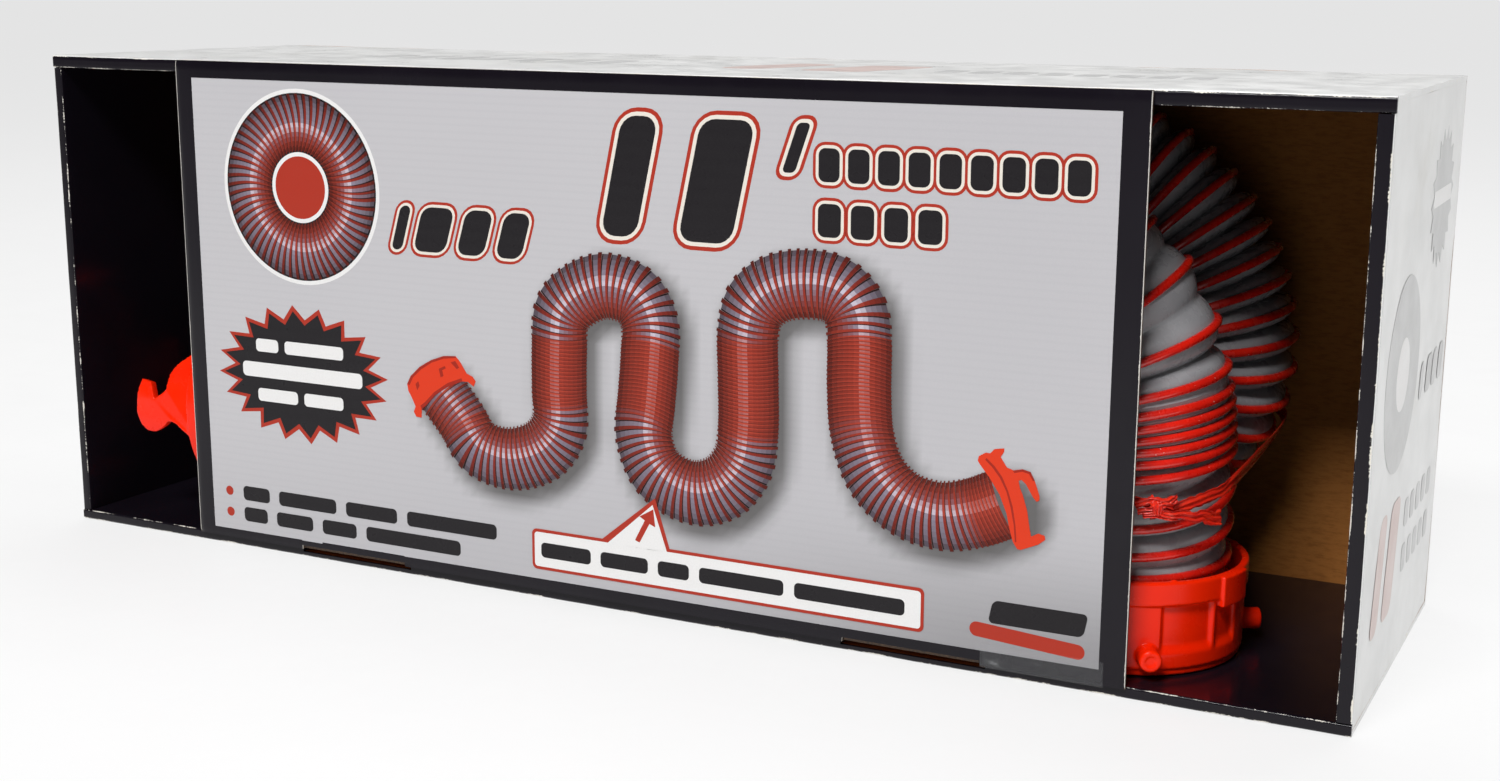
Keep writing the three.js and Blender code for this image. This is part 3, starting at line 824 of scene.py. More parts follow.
def ring_solid(section, axis, steps=300):
    """A closed ring whose outline may change with the angle."""
    points, size = [], 0
    for i in range(steps):
        turn = 2 * math.pi * i / steps
        rows = section(turn)
        size = len(rows)
        points += [axis @ Vector((r * math.cos(turn), r * math.sin(turn), a)) for r, a in rows]
    return points, grid_faces(steps, size, True, True)


def peg_solid(outline, axis, steps=32):
    """A closed round peg along local X from (distance, radius) rows."""
    points = []
    for distance, radius in outline:
        for i in range(steps):
            turn = 2 * math.pi * i / steps
            points.append(axis @ Vector((distance, radius * math.cos(turn), radius * math.sin(turn))))
    return points, tube_faces(len(outline), steps)


def plate_solid(outline, inner, outer, axis):
    """A plate bent round a cylinder: outline rows are (angle, height)."""
    points = []
    for radius in (inner, outer):
        points += [axis @ Vector((radius * math.cos(t), radius * math.sin(t), a)) for t, a in outline]
    n = len(outline)
    faces = [tuple(range(n)), tuple(range(2 * n - 1, n - 1, -1))]
    return points, faces + [(i, (i + 1) % n, n + (i + 1) % n, n + i) for i in range(n)]


# Radii of the lug ring's outside, each from its height up.
LUG_STEPS = ((0.0, 0.0480), (0.0003, 0.0484), (0.003, 0.0494), (0.0303, 0.0505), (0.0400, 0.0500))
LUG_WINDOWS = ((6, 35), (37, 54))  # sunk panels round the ring, in degrees past each pin
LUG_WINDOW_FOOT, LUG_WINDOW_TOP = 0.0086, 0.0303
LUG_WINDOW_FLOOR = 0.0476


def in_window(turn, low, high):
    """How far an angle, in degrees past its pin, is inside a window: 0 outside, 1 well inside."""
    past = (math.degrees(turn) - PIN_TURN) % 90
    return float(smoothstep(min(past - low, high - past), 0, 1.2))


def make_lug_ring(axis):
    rim_foot = LUG_HEIGHT - 0.010
    # Rows of points lie closer together where the outside steps in or out.
    heights = [0.0, 0.0004, 0.0028, 0.0032, 0.006, 0.0086, 0.0092, 0.0102, 0.0112, 0.0122, 0.0131,
               0.0138, 0.018, 0.022, 0.026, 0.0295, 0.0301, 0.0305, 0.0309, 0.034, 0.038, 0.0398, LUG_HEIGHT]

    def outside(turn, height):
        radius = [reach for start, reach in LUG_STEPS if start <= height][-1]
        if LUG_WINDOW_FOOT <= height <= LUG_WINDOW_TOP:
            depth = max(in_window(turn, *window) for window in LUG_WINDOWS)
            floor = LUG_WINDOW_FLOOR + 0.0018 * (1 - float(smoothstep(height, 0.0088, 0.0134)))
            radius += (min(radius, floor) - radius) * depth
        return radius

    def section(turn):
        cup = LUG["cup"]
        inside = [(cup, LUG_HEIGHT), (cup, rim_foot), (cup - 0.001, LUG["high"]), (LUG["ledge"], LUG["high"]),
                  (LUG["ledge"], LUG["low"]), (LUG["bore"], LUG["low"]), (LUG["bore"], 0.001),
                  (LUG["bore"] + 0.001, 0.0)]
        return [(outside(turn, a), a) for a in heights] + inside

    solids = [ring_solid(section, axis, 480)]
    pin = [(0.0475, PIN_RADIUS), (PIN_REACH - 0.0006, PIN_RADIUS), (PIN_REACH, PIN_RADIUS - 0.0006),
           (PIN_REACH, 0.0026), (PIN_REACH - 0.0007, 0.0019)]
    for i in range(4):
        turn = math.radians(PIN_TURN + 90 * i)
        facing = axis @ Matrix.Rotation(turn, 4, "Z") @ Matrix.Translation((0, 0, PIN_LEVEL))
        solids.append(peg_solid(pin, facing))
        start, end = turn + math.radians(38.5), turn + math.radians(59.5)
        sweep = [start + (end - start) * k / 8 for k in range(9)]
        low, high = LUG_HEIGHT - 0.0135, LUG_HEIGHT - 0.0004
        outline = [(t, low) for t in sweep] + [(t, high) for t in reversed(sweep)]
        solids.append(plate_solid(outline, 0.0485, 0.052, axis))
        nib = turn + math.radians(11)
        solids.append(plate_solid(
            [(nib, LUG_HEIGHT - 0.001), (nib + 0.03, LUG_HEIGHT - 0.001),
             (nib + 0.03, LUG_HEIGHT + 0.0008), (nib, LUG_HEIGHT + 0.0008)], 0.0478, 0.0495, axis))
    return fused("lug_ring_moulding", solids, 0.00055, [ORANGE], "lug_ring", "orange_plastic", ["lug_ring"])


def curve_to(start, control, end, steps=7):
    """Points after start on a quadratic curve."""
    rows = []
    for k in range(1, steps + 1):
        t = k / steps
        rows.append(tuple((1 - t) ** 2 * a + 2 * t * (1 - t) * b + t * t * c
                          for a, b, c in zip(start, control, end)))
    return rows


def hook_outline():
    """One hook: x is out of the mouth, y is across it, both in metres."""
    rows = [(-6, 17), (-6, -28), (0, -28), (8, -22)]
    rows += curve_to((8, -22), (14.5, -17), (14, -8))
    rows += [(22, -2.5), (25, -11), (31, -12)]
    rows += curve_to((31, -12), (34, -6), (34, 3))
    rows += curve_to((34, 3), (34, 11), (29, 14))
    rows += curve_to((29, 14), (21, 16.5), (13.5, 8.5))
    rows += curve_to((13.5, 8.5), (9, 7), (4, 12))
    rows += [(0, 14.5)]
    return [(x * MM, y * MM) for x, y in rows]


def make_bayonet_ring(axis):
    b = BAYONET
    shoulder, mouth = 0.011, 0.0502
    outline = [(0.0560, 0), (0.0565, 0.001), (0.0565, 0.011), (0.0514, 0.015), (0.0514, 0.021),
               (0.0534, 0.022), (0.0534, BAYONET_LENGTH - 0.001), (0.0524, BAYONET_LENGTH),
               (b["cup"], BAYONET_LENGTH), (b["cup"], b["high"]), (b["ledge"], b["high"]),
               (b["ledge"], b["low"]), (b["bore"], b["low"]), (b["bore"], shoulder), (mouth, shoulder),
               (mouth, 0.001), (mouth + 0.001, 0)]
    solids = [ring_solid(lambda turn: outline, axis)]
    lobes = [(0.0572, -0.0005), (0.0572, 0.010), (0.053, 0.010), (0.053, -0.0005)]
    solids.append(ring_solid(lambda turn: lobes, axis))
    radius = 0.05525
    for i in range(4):
        bent = [(math.asin(y / radius) + math.pi / 2 * i, -x) for x, y in hook_outline()]
        solids.append(plate_solid(bent, 0.0531, 0.0574, axis))
    ribs = 24
    for i in range(ribs):
        turn = 2 * math.pi * (i + 0.5) / ribs
        rib = [(turn - 0.018, 0.0218), (turn + 0.018, 0.0218),
               (turn + 0.018, BAYONET_LENGTH - 0.0012), (turn - 0.018, BAYONET_LENGTH - 0.0012)]
        solids.append(plate_solid(rib, 0.0525, 0.0541, axis))
    return fused("bayonet_ring_moulding", solids, 0.00055, [ORANGE], "bayonet_ring", "orange_plastic",
                 ["bayonet_ring"])


GAP = 0.0003  # between parts that are made separately
FLANGE = 0.0029
SEAL = 0.0024
RETAINER = 0.0028
RETAINER_BORE = 0.040
SPIGOT_OUTER = 0.0374
SPIGOT_BORE = 0.035
SPIGOT_REACH = 0.022


def make_swivel(prefix, sizes, axis):
    """The collar in the hose's end, with its seal and the ring that keeps it in. Returns the collar."""
    bore, low = sizes["bore"], sizes["low"]
    top = low + SPIGOT_REACH
    foot = low - GAP - FLANGE
    collar = [(bore - GAP, foot), (bore - GAP, low - GAP), (SPIGOT_OUTER, low - GAP),
              (SPIGOT_OUTER, top - 0.0015), (SPIGOT_OUTER - 0.001, top), (SPIGOT_BORE, top),
              (SPIGOT_BORE, foot)]
    made = lathe(prefix + "_collar_moulding", collar, axis, [ORANGE], "carton", "orange_plastic",
                 [prefix + "_collar"])
    seal_top = foot - GAP
    inner, outer = RETAINER_BORE + 0.001, bore - GAP
    seal = [(outer, seal_top - SEAL), (outer, seal_top), (inner, seal_top), (inner, seal_top - SEAL)]
    lathe(prefix + "_seal_ring", seal, axis, [RUBBER], "carton", "black_rubber", [prefix + "_seal"],
          bevel=0.0007)
    ring_top = seal_top - SEAL - GAP
    keeper = [(bore - GAP, ring_top - RETAINER), (bore - GAP, ring_top), (RETAINER_BORE, ring_top),
              (RETAINER_BORE, ring_top - RETAINER + 0.0008), (RETAINER_BORE + 0.0008, ring_top - RETAINER)]
    lathe(prefix + "_retaining_moulding", keeper, axis, [ORANGE], prefix + "_ring", "orange_plastic",
          [prefix + "_retaining_ring"])
    return made


def make_gasket(axis):
    outline = [(0.0499, 0.0083), (0.0499, 0.0107), (0.0430, 0.0107), (0.0430, 0.0093), (0.0445, 0.0083)]
    lathe("bayonet_gasket", outline, axis, [RUBBER], "bayonet_ring", "black_rubber", ["bayonet_face_gasket"])


# ---------------------------------------------------------------- tie ribbon

TIE_REACH = 0.0448
TIE_WIDTH = 0.0054
TIE_THICKNESS = 0.00025
KNOT_TURN = math.radians(-61)
KNOT_REACH = 0.0462
KNOT_FROM = Vector((0.2250, -0.0372, 0.0785))  # close to the front run's centreline


def tie_line():
    """Points along the ribbon's loop, each with the direction away from the hose's middle."""
    rows = []

    def arc(centre, rise, tilt, start, end, steps):
        for k in range(steps + 1):
            turn = math.radians(start + (end - start) * k / steps)
            away = Vector((math.cos(turn) * math.cos(tilt), math.sin(turn), math.cos(turn) * math.sin(tilt)))
            at = Vector(centre) + away * TIE_REACH + Vector((0, 0, rise * k / steps))
            rows.append((at, away.normalized()))

    arc((0.2250, -0.0369, 0.076), 0.008, 0, -60, -3, 5)
    arc((0.2278, 0.0462, 0.1048), 0, math.radians(-20), 0, 180, 8)
    arc((0.2249, -0.0384, 0.096), -0.017, 0, 182, 298, 7)
    return rows


def ribbon_solid(path, aways, widths, folds, seed):
    """A thin closed strip along a path, gathered in sharp lengthwise folds. Returns points and faces."""
    path, aways = np.array(path), np.array(aways)
    tangent = np.gradient(path, axis=0)
    tangent /= np.linalg.norm(tangent, axis=1)[:, None]
    across = np.cross(tangent, aways)
    across /= np.linalg.norm(across, axis=1)[:, None]
    lanes = np.linspace(-1, 1, 17)
    points = []
    for i, at in enumerate(path):
        front, back = [], []
        drift = wobble((i * 0.011, 0, seed), 0.12)
        ragged = 1 + 0.22 * wobble((i * 0.02, 4, seed), 0.05)
        for lane in lanes:
            fold = lane * 1.1 + drift + 0.25 * wobble((lane, i * 0.03, seed), 0.4)
            crease = (4 * abs(fold - math.floor(fold) - 0.5) - 1) * folds[i]
            crease += 0.5 * folds[i] * wobble((lane, i * 0.05, seed + 3), 0.5)
            line = at + across[i] * (lane * ragged * widths[i] / 2) + aways[i] * crease
            front.append(line + aways[i] * TIE_THICKNESS / 2)
            back.append(line - aways[i] * TIE_THICKNESS / 2)
        points += front + back[::-1]
    return points, tube_faces(len(path), 2 * len(lanes))


# Strands of the knot and its loose end, in millimetres from the knot's middle: along the ribbon to
# the right, away from the hose, and up. Each strand is followed by its width at either end.
KNOT_STRANDS = [
    ([(-9, 0, 0.5), (-5, 1.2, 2.0), (-1, 2.2, 2.6), (3, 2.0, 1.0), (6, 1.0, -1.5)], 3.4, 3.4),
    ([(-8, 0.2, -2.0), (-4, 1.6, -1.5), (0, 2.8, 0.5), (4, 2.2, 2.6), (8, 0.4, 3.0)], 3.0, 3.6),
    (
        [(-3.5, 0.4, 4.0), (-2.2, 2.6, 2.2), (-1.2, 3.4, -0.6), (-1.6, 2.2, -3.4), (-3.2, 0.4, -4.4)],
        3.2, 2.6,
    ),
    ([(1.2, 0.8, 3.6), (0.4, 3.0, 1.6), (0.6, 3.2, -1.6), (2.4, 1.6, -3.8)], 2.4, 3.0),
    ([(-6, 1.2, -3.6), (-1, 2.6, -2.8), (5, 2.6, -4.2), (9, 1.4, -3.2)], 2.2, 3.2),
]
LOOSE_END = (
    [(0, 2.6, -1.5), (5, 3.2, -3.0), (10, 2.0, -2.6), (15, 0.6, -4.8), (19, -1.2, -4.4), (24, -4.0, -6.6),
     (28, -6.4, -6.2)],
    2.6, 6.4,
)


def at_knot(row):
    """A millimetre row of KNOT_STRANDS in the part's frame."""
    away = Vector((math.cos(KNOT_TURN), math.sin(KNOT_TURN), 0))
    along = Vector((-away.y, away.x, 0))
    return KNOT_FROM + away * (KNOT_REACH + row[1] * MM) + along * (row[0] * MM) + Vector((0, 0, row[2] * MM))


def make_ribbon():
    rows = tie_line()
    path = smooth_route([tuple(at) for at, _ in rows], 9)
    outward = smooth_route([tuple(away) for _, away in rows], 9)[: len(path)]
    outward /= np.linalg.norm(outward, axis=1)[:, None]
    share = np.linspace(0, 1, len(path))
    gather = np.minimum(smoothstep(share, 0, 0.08), 1 - smoothstep(share, 0.92, 1))
    widths = TIE_WIDTH * (0.6 + 0.4 * gather)
    solids = [ribbon_solid(path, outward, widths, 0.00034 + 0.0004 * (1 - gather), 1.0)]
    for n, (strand, first, last) in enumerate([*KNOT_STRANDS, LOOSE_END]):
        bent = smooth_route([tuple(at_knot(row)) for row in strand], 9)
        away = (Vector(bent[len(bent) // 2]) - KNOT_FROM) * Vector((1, 1, 0))
        aways = np.tile(np.array(away.normalized()), (len(bent), 1))
        wide = np.linspace(first, last, len(bent)) * MM
        solids.append(ribbon_solid(bent, aways, wide, [0.0007] * len(bent), 5.0 + n))
    piece("tie_film", *merged(solids), [RIBBON], "carton", "red_film", ["tie_ribbon"])


# ---------------------------------------------------------------- carton boards

BOARD = 0.0024
BOARD_CREASE = 35  # degrees; sharper folds aren't shaded smooth
LIP = 0.0016
STEP = 0.007  # how closely a board's surface is divided


def dented(point, seed):
    """A board is never quite flat: it bows and dents by a fraction of a millimetre."""
    return 0.00022 * wobble(point, 0.09, seed) + 0.00012 * wobble(point, 0.02, seed + 7)


def divided(rows):
    """Adds points along an outline's long flats and one beside each corner, all with no wear."""
    found = []
    count = len(rows)
    for i, (u, v, worn) in enumerate(rows):
        found.append((u, v, worn))
        nu, nv, _ = rows[(i + 1) % count]
        span = math.hypot(nu - u, nv - v)
        if span < 0.0016:
            continue
        marks = [0.0011 / span, 1 - 0.0011 / span] if span > 0.0035 else [0.5]
        inner = max(0, round(span / STEP) - 1)
        marks += [(k + 1) / (inner + 1) for k in range(inner)] if inner else []
        for t in sorted(set(marks)):
            if 0.0009 / span < t < 1 - 0.0009 / span:
                found.append((u + (nu - u) * t, v + (nv - v) * t, 0.0))
    return found


def stations(start, end, step=STEP, ease=0.0011):
    """Places along a board, close together at its two ends."""
    count = max(2, round((end - start) / step))
    inner = [start + (end - start) * k / count for k in range(1, count)]
    return [start, start + ease * 0.35, start + ease, *inner, end - ease, end - ease * 0.35, end]


def extruded(name, rows, start, end, axis, materials, rule, body, slot, replaces, seed, waist=None):
    """A board from an outline run along X or Z. rule(normal, middle) picks each face's material.

    waist is (depth, reach): behind that depth the board runs only that far out from the middle.
    """
    rows = divided(rows)
    places = stations(start, end)
    points, wear = [], []
    for i, w in enumerate(places):
        at_end = i in (0, len(places) - 1)
        for u, v, worn in rows:
            run = w if waist is None or u < waist[0] else max(-waist[1], min(waist[1], w))
            at = Vector((run, u, v)) if axis == "X" else Vector((u, v, w))
            bow = dented(at, seed)
            points.append(at + (Vector((0, 0.5 * bow, bow)) if axis == "X" else Vector((bow, 0.5 * bow, 0))))
            wear.append(max(worn, 0.9 if at_end else 0.0))
    size = len(rows)
    faces = grid_faces(len(places), size, False, True)
    caps = [list(range(size))]
    if waist is not None:
        behind = [k for k in range(size) if rows[k][0] >= waist[0]]
        a, b = behind[0], behind[-1]
        caps = [behind, [a - 1, a, b, (b + 1) % size], list(range(b + 1, size)) + list(range(a))]
    last = (len(places) - 1) * size
    faces += [tuple(k + base for k in cap) for cap in caps for base in (0, last)]
    made = piece(name, points, faces, materials, body, slot, replaces)
    store(made, "wear", points, wear)
    paint(made, rule)
    return sharp_over(made, BOARD_CREASE)


def store(made, name, points, values):
    """Gives each vertex the value of the point it was made from."""
    tree = KDTree(len(points))
    for k, at in enumerate(points):
        tree.insert(at, k)
    tree.balance()
    found = [values[tree.find(v.co)[1]] for v in made.data.vertices]
    made.data.attributes.new(name, "FLOAT", "POINT").data.foreach_set("value", found)


def paint(made, rule):
    for face in made.data.polygons:
        face.material_index = rule(face.normal, face.center)


def outline_box(u0, v0, u1, v1, radius, wear=1.0):
    corners = [(u0, v0), (u1, v0), (u1, v1), (u0, v1)]
    return rounded(corners, [radius] * 4, [wear] * 4)


def make_carton():
    low, high = cad_box
    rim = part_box("top_flap")[0].y
    wall_low, wall_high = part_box("back_panel")
    flap_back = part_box("top_flap")[1].y
    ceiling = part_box("top_flap")[0].z
    floor_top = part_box("bottom_flap")[1].z
    left_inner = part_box("left_flap")[1].x
    right_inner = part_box("right_flap")[0].x
    lip = rim + LIP
    behind = lip + 0.0001
    layer = BOARD + GAP
    waist = (behind - 1e-6, high.x - layer)
    x0, x1, z1 = low.x, high.x, high.z

    # Outer layers.
    rows = outline_box(wall_low.y, 0, wall_high.y, z1, 0.0009)
    extruded("back_board", rows, x0, x1, "X", [WHITE, KRAFT], lambda n, c: 1 if n.y < -0.5 else 0,
             "carton", "kraft_board", ["back_panel"], 1.0)
    rows = outline_box(lip, z1 - BOARD, wall_low.y, z1, 0.0006)
    extruded("top_board", rows, x0, x1, "X", [WHITE_TOP, KRAFT], lambda n, c: 1 if n.z < -0.5 else 0,
             "carton", "white_print", ["top_panel"], 2.0)
    rows = outline_box(lip, 0, wall_low.y, BOARD, 0.0006)
    extruded("bottom_board", rows, x0, x1, "X", [WHITE_TOP, KRAFT], lambda n, c: 1 if n.z > 0.5 else 0,
             "carton", "kraft_board", ["bottom_panel"], 3.0)
    for name, node, outer, inner, side in (
        ("left_end_board", "left_end_panel", x0, x0 + BOARD, -1),
        ("right_end_board", "right_end_panel", x1, x1 - BOARD, 1),
    ):
        rows = outline_box(min(outer, inner), lip, max(outer, inner), wall_low.y, 0.0006, 0.5)
        extruded(name, rows, BOARD, z1 - BOARD, "Z", [WHITE, KRAFT],
                 lambda n, c, side=side: 1 if n.x * side < -0.5 else 0, "carton", "white_print", [node], 4.0)

    # Inner layers, each with the front edge that rolls over the outer layer.
    def lip_outline(inner_face, outer_face, near):
        """(y, height) rows of a flap: a tall lip at the front and a sheet that runs to the back."""
        corners = [(rim, inner_face), (lip, inner_face), (behind, inner_face), (flap_back, inner_face),
                   (flap_back, near), (behind, near), (lip, near), (lip, outer_face), (rim, outer_face)]
        radii = [0.0009, 0, 0, 0.0004, 0.0004, 0, 0, 0.0003, 0.0014]
        return rounded(corners, radii, [1.04, 0, 0, 0, 0, 0, 0, 0.4, 1.04])

    rows = lip_outline(ceiling, z1, z1 - layer)
    extruded("top_inner_board", rows, x0, x1, "X", [BLACK, WHITE_TOP],
             lambda n, c: 1 if n.z > 0.75 and c.z > z1 - 0.001 else 0, "carton", "black_print", ["top_flap"],
             5.0, waist)
    rows = lip_outline(floor_top, 0, layer)
    floor_board = extruded("bottom_inner_board", rows, x0, x1, "X", [BLACK, KRAFT],
                           lambda n, c: 0, "carton", "black_print", ["bottom_flap"], 6.0, waist)
    for side in (-1, 1):
        tab_low, tab_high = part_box("left_tuck_tab" if side < 0 else "right_tuck_tab")
        cut_low = (tab_low.x - 0.002, rim - 0.001, BOARD)
        cut_high = (tab_high.x + 0.002, tab_high.y + 0.003, floor_top + 0.001)
        cut_box(floor_board, cut_low, cut_high)
    sharp_over(floor_board, BOARD_CREASE)
    for name, node, outer, inner, side in (
        ("left_inner_board", "left_flap", x0, left_inner, -1),
        ("right_inner_board", "right_flap", x1, right_inner, 1),
    ):
        rows = [(u, y, w) for y, u, w in lip_outline(inner, outer, outer - side * layer)]

        def lip_rule(n, c, side=side, outer=outer):
            return 1 if n.x * side > 0.75 and abs(c.x - outer) < 0.001 else 0

        extruded(name, rows, floor_top + GAP, ceiling - GAP, "Z", [BLACK, WHITE], lip_rule,
                 "carton", "black_print", [node], 7.0 + side)


def cut_box(made, low, high):
    """Cuts a box out of a board. The cut's faces take the board's first material."""
    corners = [(x, y, z) for x in (low[0], high[0]) for y in (low[1], high[1]) for z in (low[2], high[2])]
    faces = [(0, 1, 3, 2), (4, 6, 7, 5), (0, 4, 5, 1), (2, 3, 7, 6), (0, 2, 6, 4), (1, 5, 7, 3)]
    cutter = new_object("cutter", corners, faces)
    cut = made.modifiers.new("cut", "BOOLEAN")
    cut.operation, cut.solver, cut.object = "DIFFERENCE", "EXACT", cutter
    cut.material_mode = "INDEX"
    materials = list(made.data.materials)
    applied(made)
    bpy.data.objects.remove(cutter)
    made.data.materials.clear()
    for material in materials:
        made.data.materials.append(material)
    made.data.shade_smooth()


# ---------------------------------------------------------------- front panel

BORDER = {"left": 0.0105, "right": 0.011, "top": 0.0083, "bottom": 0.0070}
BORDER_FALL = 0.0024  # how much lower the field reaches at its left end
PINCH = 0.0028  # the die crushes the board this far in from a cut edge
SIDE_CRUSH, FOOT_CRUSH = 0.0006, 0.0004
FIELD_SLANT = 0.05  # the border's slant fades out over this height
SHADOW_SHIFT = 0.004  # of the printed hose's shadow, to the right and down
SHADOW_CORE, SHADOW_EDGE = 0.012, 0.022


def panel_face(x, z):
    """The front surface's depth: crushed at the cut edges, and a little bowed."""
    edge = min(x - panel_low.x, panel_high.x - x)
    foot = min(z - panel_low.z, panel_high.z - z)
    crushed = SIDE_CRUSH * (1 - float(smoothstep(edge, 0, PINCH)))
    crushed += FOOT_CRUSH * (1 - float(smoothstep(foot, 0, PINCH)))
    flat = float(smoothstep(min(edge, foot), 0, 0.02))
    bow = flat * 0.00018 * (1 + wobble((x, 0, z), 0.16, 2.0)) + 0.00006 * wobble((x, 0, z), 0.03, 5.0)
    return panel_low.y + crushed - bow


def from_right(x):
    """The share of the panel's width between here and its right edge."""
    return (panel_high.x - x) / (panel_high.x - panel_low.x)


def edge_stations(low, high, borders, step):
    """Places across the panel: close together at both edges, one on each border, the rest a step apart."""
    near = [0, 0.0003, 0.0009, 0.0016, PINCH]
    rows = {round(low + d, 6) for d in near} | {round(high - d, 6) for d in near}
    rows |= {round(b, 6) for b in borders}
    count = round((high - low) / step)
    for k in range(1, count):
        at = low + (high - low) * k / count
        if all(abs(at - other) > step * 0.35 for other in rows):
            rows.add(round(at, 6))
    return sorted(rows)


def picture_shadow(x, z):
    """How dark the printed shadow is, from the picture's line shifted down and right."""
    if x < PICTURE_LOW[0] - 0.03 or x > PICTURE_HIGH[0] + 0.03:
        return 0.0
    across, down = PICTURE_LINE[:, 0] + SHADOW_SHIFT - x, PICTURE_LINE[:, 1] - SHADOW_SHIFT - z
    return float(1 - smoothstep(np.min(np.hypot(across, down)), SHADOW_CORE, SHADOW_EDGE))


def make_front_panel():
    notches = []
    for node in ("left_tuck_tab", "right_tuck_tab"):
        low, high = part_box(node)
        notches.append((low.x - GAP, high.x + GAP, high.z + GAP))
    left, right = panel_low.x + BORDER["left"], panel_high.x - BORDER["right"]
    bottom, top = panel_low.z + BORDER["bottom"], panel_high.z - BORDER["top"]
    steps = [x + d for a, b, _ in notches for x, d in ((a, -0.0001), (a, 0.0001), (b, -0.0001), (b, 0.0001))]
    xs = edge_stations(panel_low.x, panel_high.x, [left, right, *steps], 0.005)
    zs = edge_stations(panel_low.z, panel_high.z, [bottom, top], 0.005)

    def lifted(x, z):
        """Slants the field's foot, and moves the lowest rows up over the tabs' notches."""
        foot = bottom - panel_low.z
        slanted = float(smoothstep(z - panel_low.z, 0.4 * foot, foot))
        if z > bottom:
            slanted *= max(0.0, 1 - (z - bottom) / FIELD_SLANT)
        z -= BORDER_FALL * slanted * from_right(x)
        for a, b, height in notches:
            if a < x < b:
                share = max(0.0, 1 - (z - panel_low.z) / 0.006)
                return z + (height - panel_low.z) * share
        return z

    def back_face(x):
        edge = min(x - panel_low.x, panel_high.x - x)
        return panel_high.y - 0.0004 * (1 - float(smoothstep(edge, 0, PINCH)))

    flat = [(x, lifted(x, z)) for x in xs for z in zs]
    points = [(x, panel_face(x, z), z) for x, z in flat] + [(x, back_face(x), z) for x, z in flat]
    shadow = [picture_shadow(x, z) for x, z in flat] + [0.0] * len(flat)
    faces = sheet_faces(len(xs), len(zs))

    def rule(normal, centre):
        if normal.y > 0.6:
            return 3
        side = min(centre.x - panel_low.x, panel_high.x - centre.x)
        if normal.y > -0.4 or side < 0.0003:
            return 2
        foot = bottom - BORDER_FALL * from_right(centre.x)
        return 0 if left < centre.x < right and foot < centre.z < top else 1

    inks = [SILVER, BLACK, CUT, KRAFT]
    made = piece("front_board", points, faces, inks, "front_panel", "silver_print", ["front_panel"])
    paint(made, rule)
    store(made, "shadow", points, shadow)
    worn = []
    for x, _, z in points:
        side = 1 - float(smoothstep(min(x - panel_low.x, panel_high.x - x), 0.0002, 0.0016))
        foot = 1 - float(smoothstep(min(z - panel_low.z, panel_high.z - z), 0.0002, 0.0016))
        worn.append(max(side, 0.8 * foot))
    store(made, "wear", points, worn)
    sharp_over(made, BOARD_CREASE)


# ---------------------------------------------------------------- printing

# The print is laid out in millimetres from the carton's middle, X across and Z up. It holds plain
# blocks where the real panel has lettering and marks.
LAYER = 0.00005  # one film of ink over another
SUNK = 0.00003  # how far each shape's back is below the board's face
PRINT_STEP = 0.005


def on_panel(x, z, height):
    return Vector((x, panel_face(x, z) - height, z))


class Printing:
    """Printed shapes, each a thin closed plate that follows its board's face."""

    def __init__(self, surface):
        self.surface = surface
        self.points, self.faces, self.indexes, self.inks = [], [], [], []

    def index(self, material):
        if material not in self.inks:
            self.inks.append(material)
        return self.inks.index(material)

    def shape(self, outline, material, layer):
        """outline is (x, z) rows in millimetres."""
        flat = split_edges([Vector((x * MM, z * MM)) for x, z in outline], PRINT_STEP)
        verts, faces = filled(flat, PRINT_STEP)
        offset = len(self.points)
        count = len(verts)
        for height in (layer * LAYER, -SUNK):
            self.points += [self.surface(v.x, v.y, height) for v in verts]
        material_index = self.index(material)
        rim = {}
        for face in faces:
            self.faces.append([offset + k for k in face])
            self.faces.append([offset + count + k for k in reversed(face)])
            for a, b in zip(face, face[1:] + face[:1]):
                rim[(a, b)] = rim.get((a, b), 0) + 1
        sides = [(a, b) for a, b in rim if (b, a) not in rim]
        self.faces += [[offset + b, offset + a, offset + count + a, offset + count + b] for a, b in sides]
        self.indexes += [material_index] * (2 * len(faces) + len(sides))

    def finished(self, name, body):
        made = new_object(name, self.points, self.faces, self.inks)
        made.data.polygons.foreach_set("material_index", self.indexes)
        turn_outwards(made)
        made.data.shade_flat()
        attach(made, body)


def split_edges(outline, longest):
    found = []
    for a, b in zip(outline, outline[1:] + outline[:1]):
        count = max(1, math.ceil((b - a).length / longest))
        found += [a.lerp(b, k / count) for k in range(count)]
    return found


def filled(outline, step):
    """The flat points and faces that fill an outline."""
    loop = len(outline)
    edges = [(k, (k + 1) % loop) for k in range(loop)]
    points = outline + inner_points(outline, step)
    verts, _, faces, *_ = delaunay_2d_cdt(points, edges, [list(range(loop))], 1, 1e-7)
    return verts, faces


def inner_points(outline, step):
    """Grid points well inside an outline, so that a big shape can follow a curved board."""
    xs, ys = [p.x for p in outline], [p.y for p in outline]
    found = []
    for i in range(int((max(xs) - min(xs)) / step)):
        for j in range(int((max(ys) - min(ys)) / step)):
            at = Vector((min(xs) + (i + 0.5) * step, min(ys) + (j + 0.5) * step))
            if inside_outline(at, outline) and edge_distance(at, outline) > step * 0.3:
                found.append(at)
    return found


def inside_outline(at, outline):
    inside = False
    for a, b in zip(outline, outline[1:] + outline[:1]):
        if (a.y > at.y) != (b.y > at.y) and at.x < a.x + (b.x - a.x) * (at.y - a.y) / (b.y - a.y):
            inside = not inside
    return inside


def edge_distance(at, outline):
    best = 1.0
    for a, b in zip(outline, outline[1:] + outline[:1]):
        span = b - a
        t = min(1, max(0, (at - a).dot(span) / max(span.length_squared, 1e-12)))
        best = min(best, (at - (a + span * t)).length)
    return best


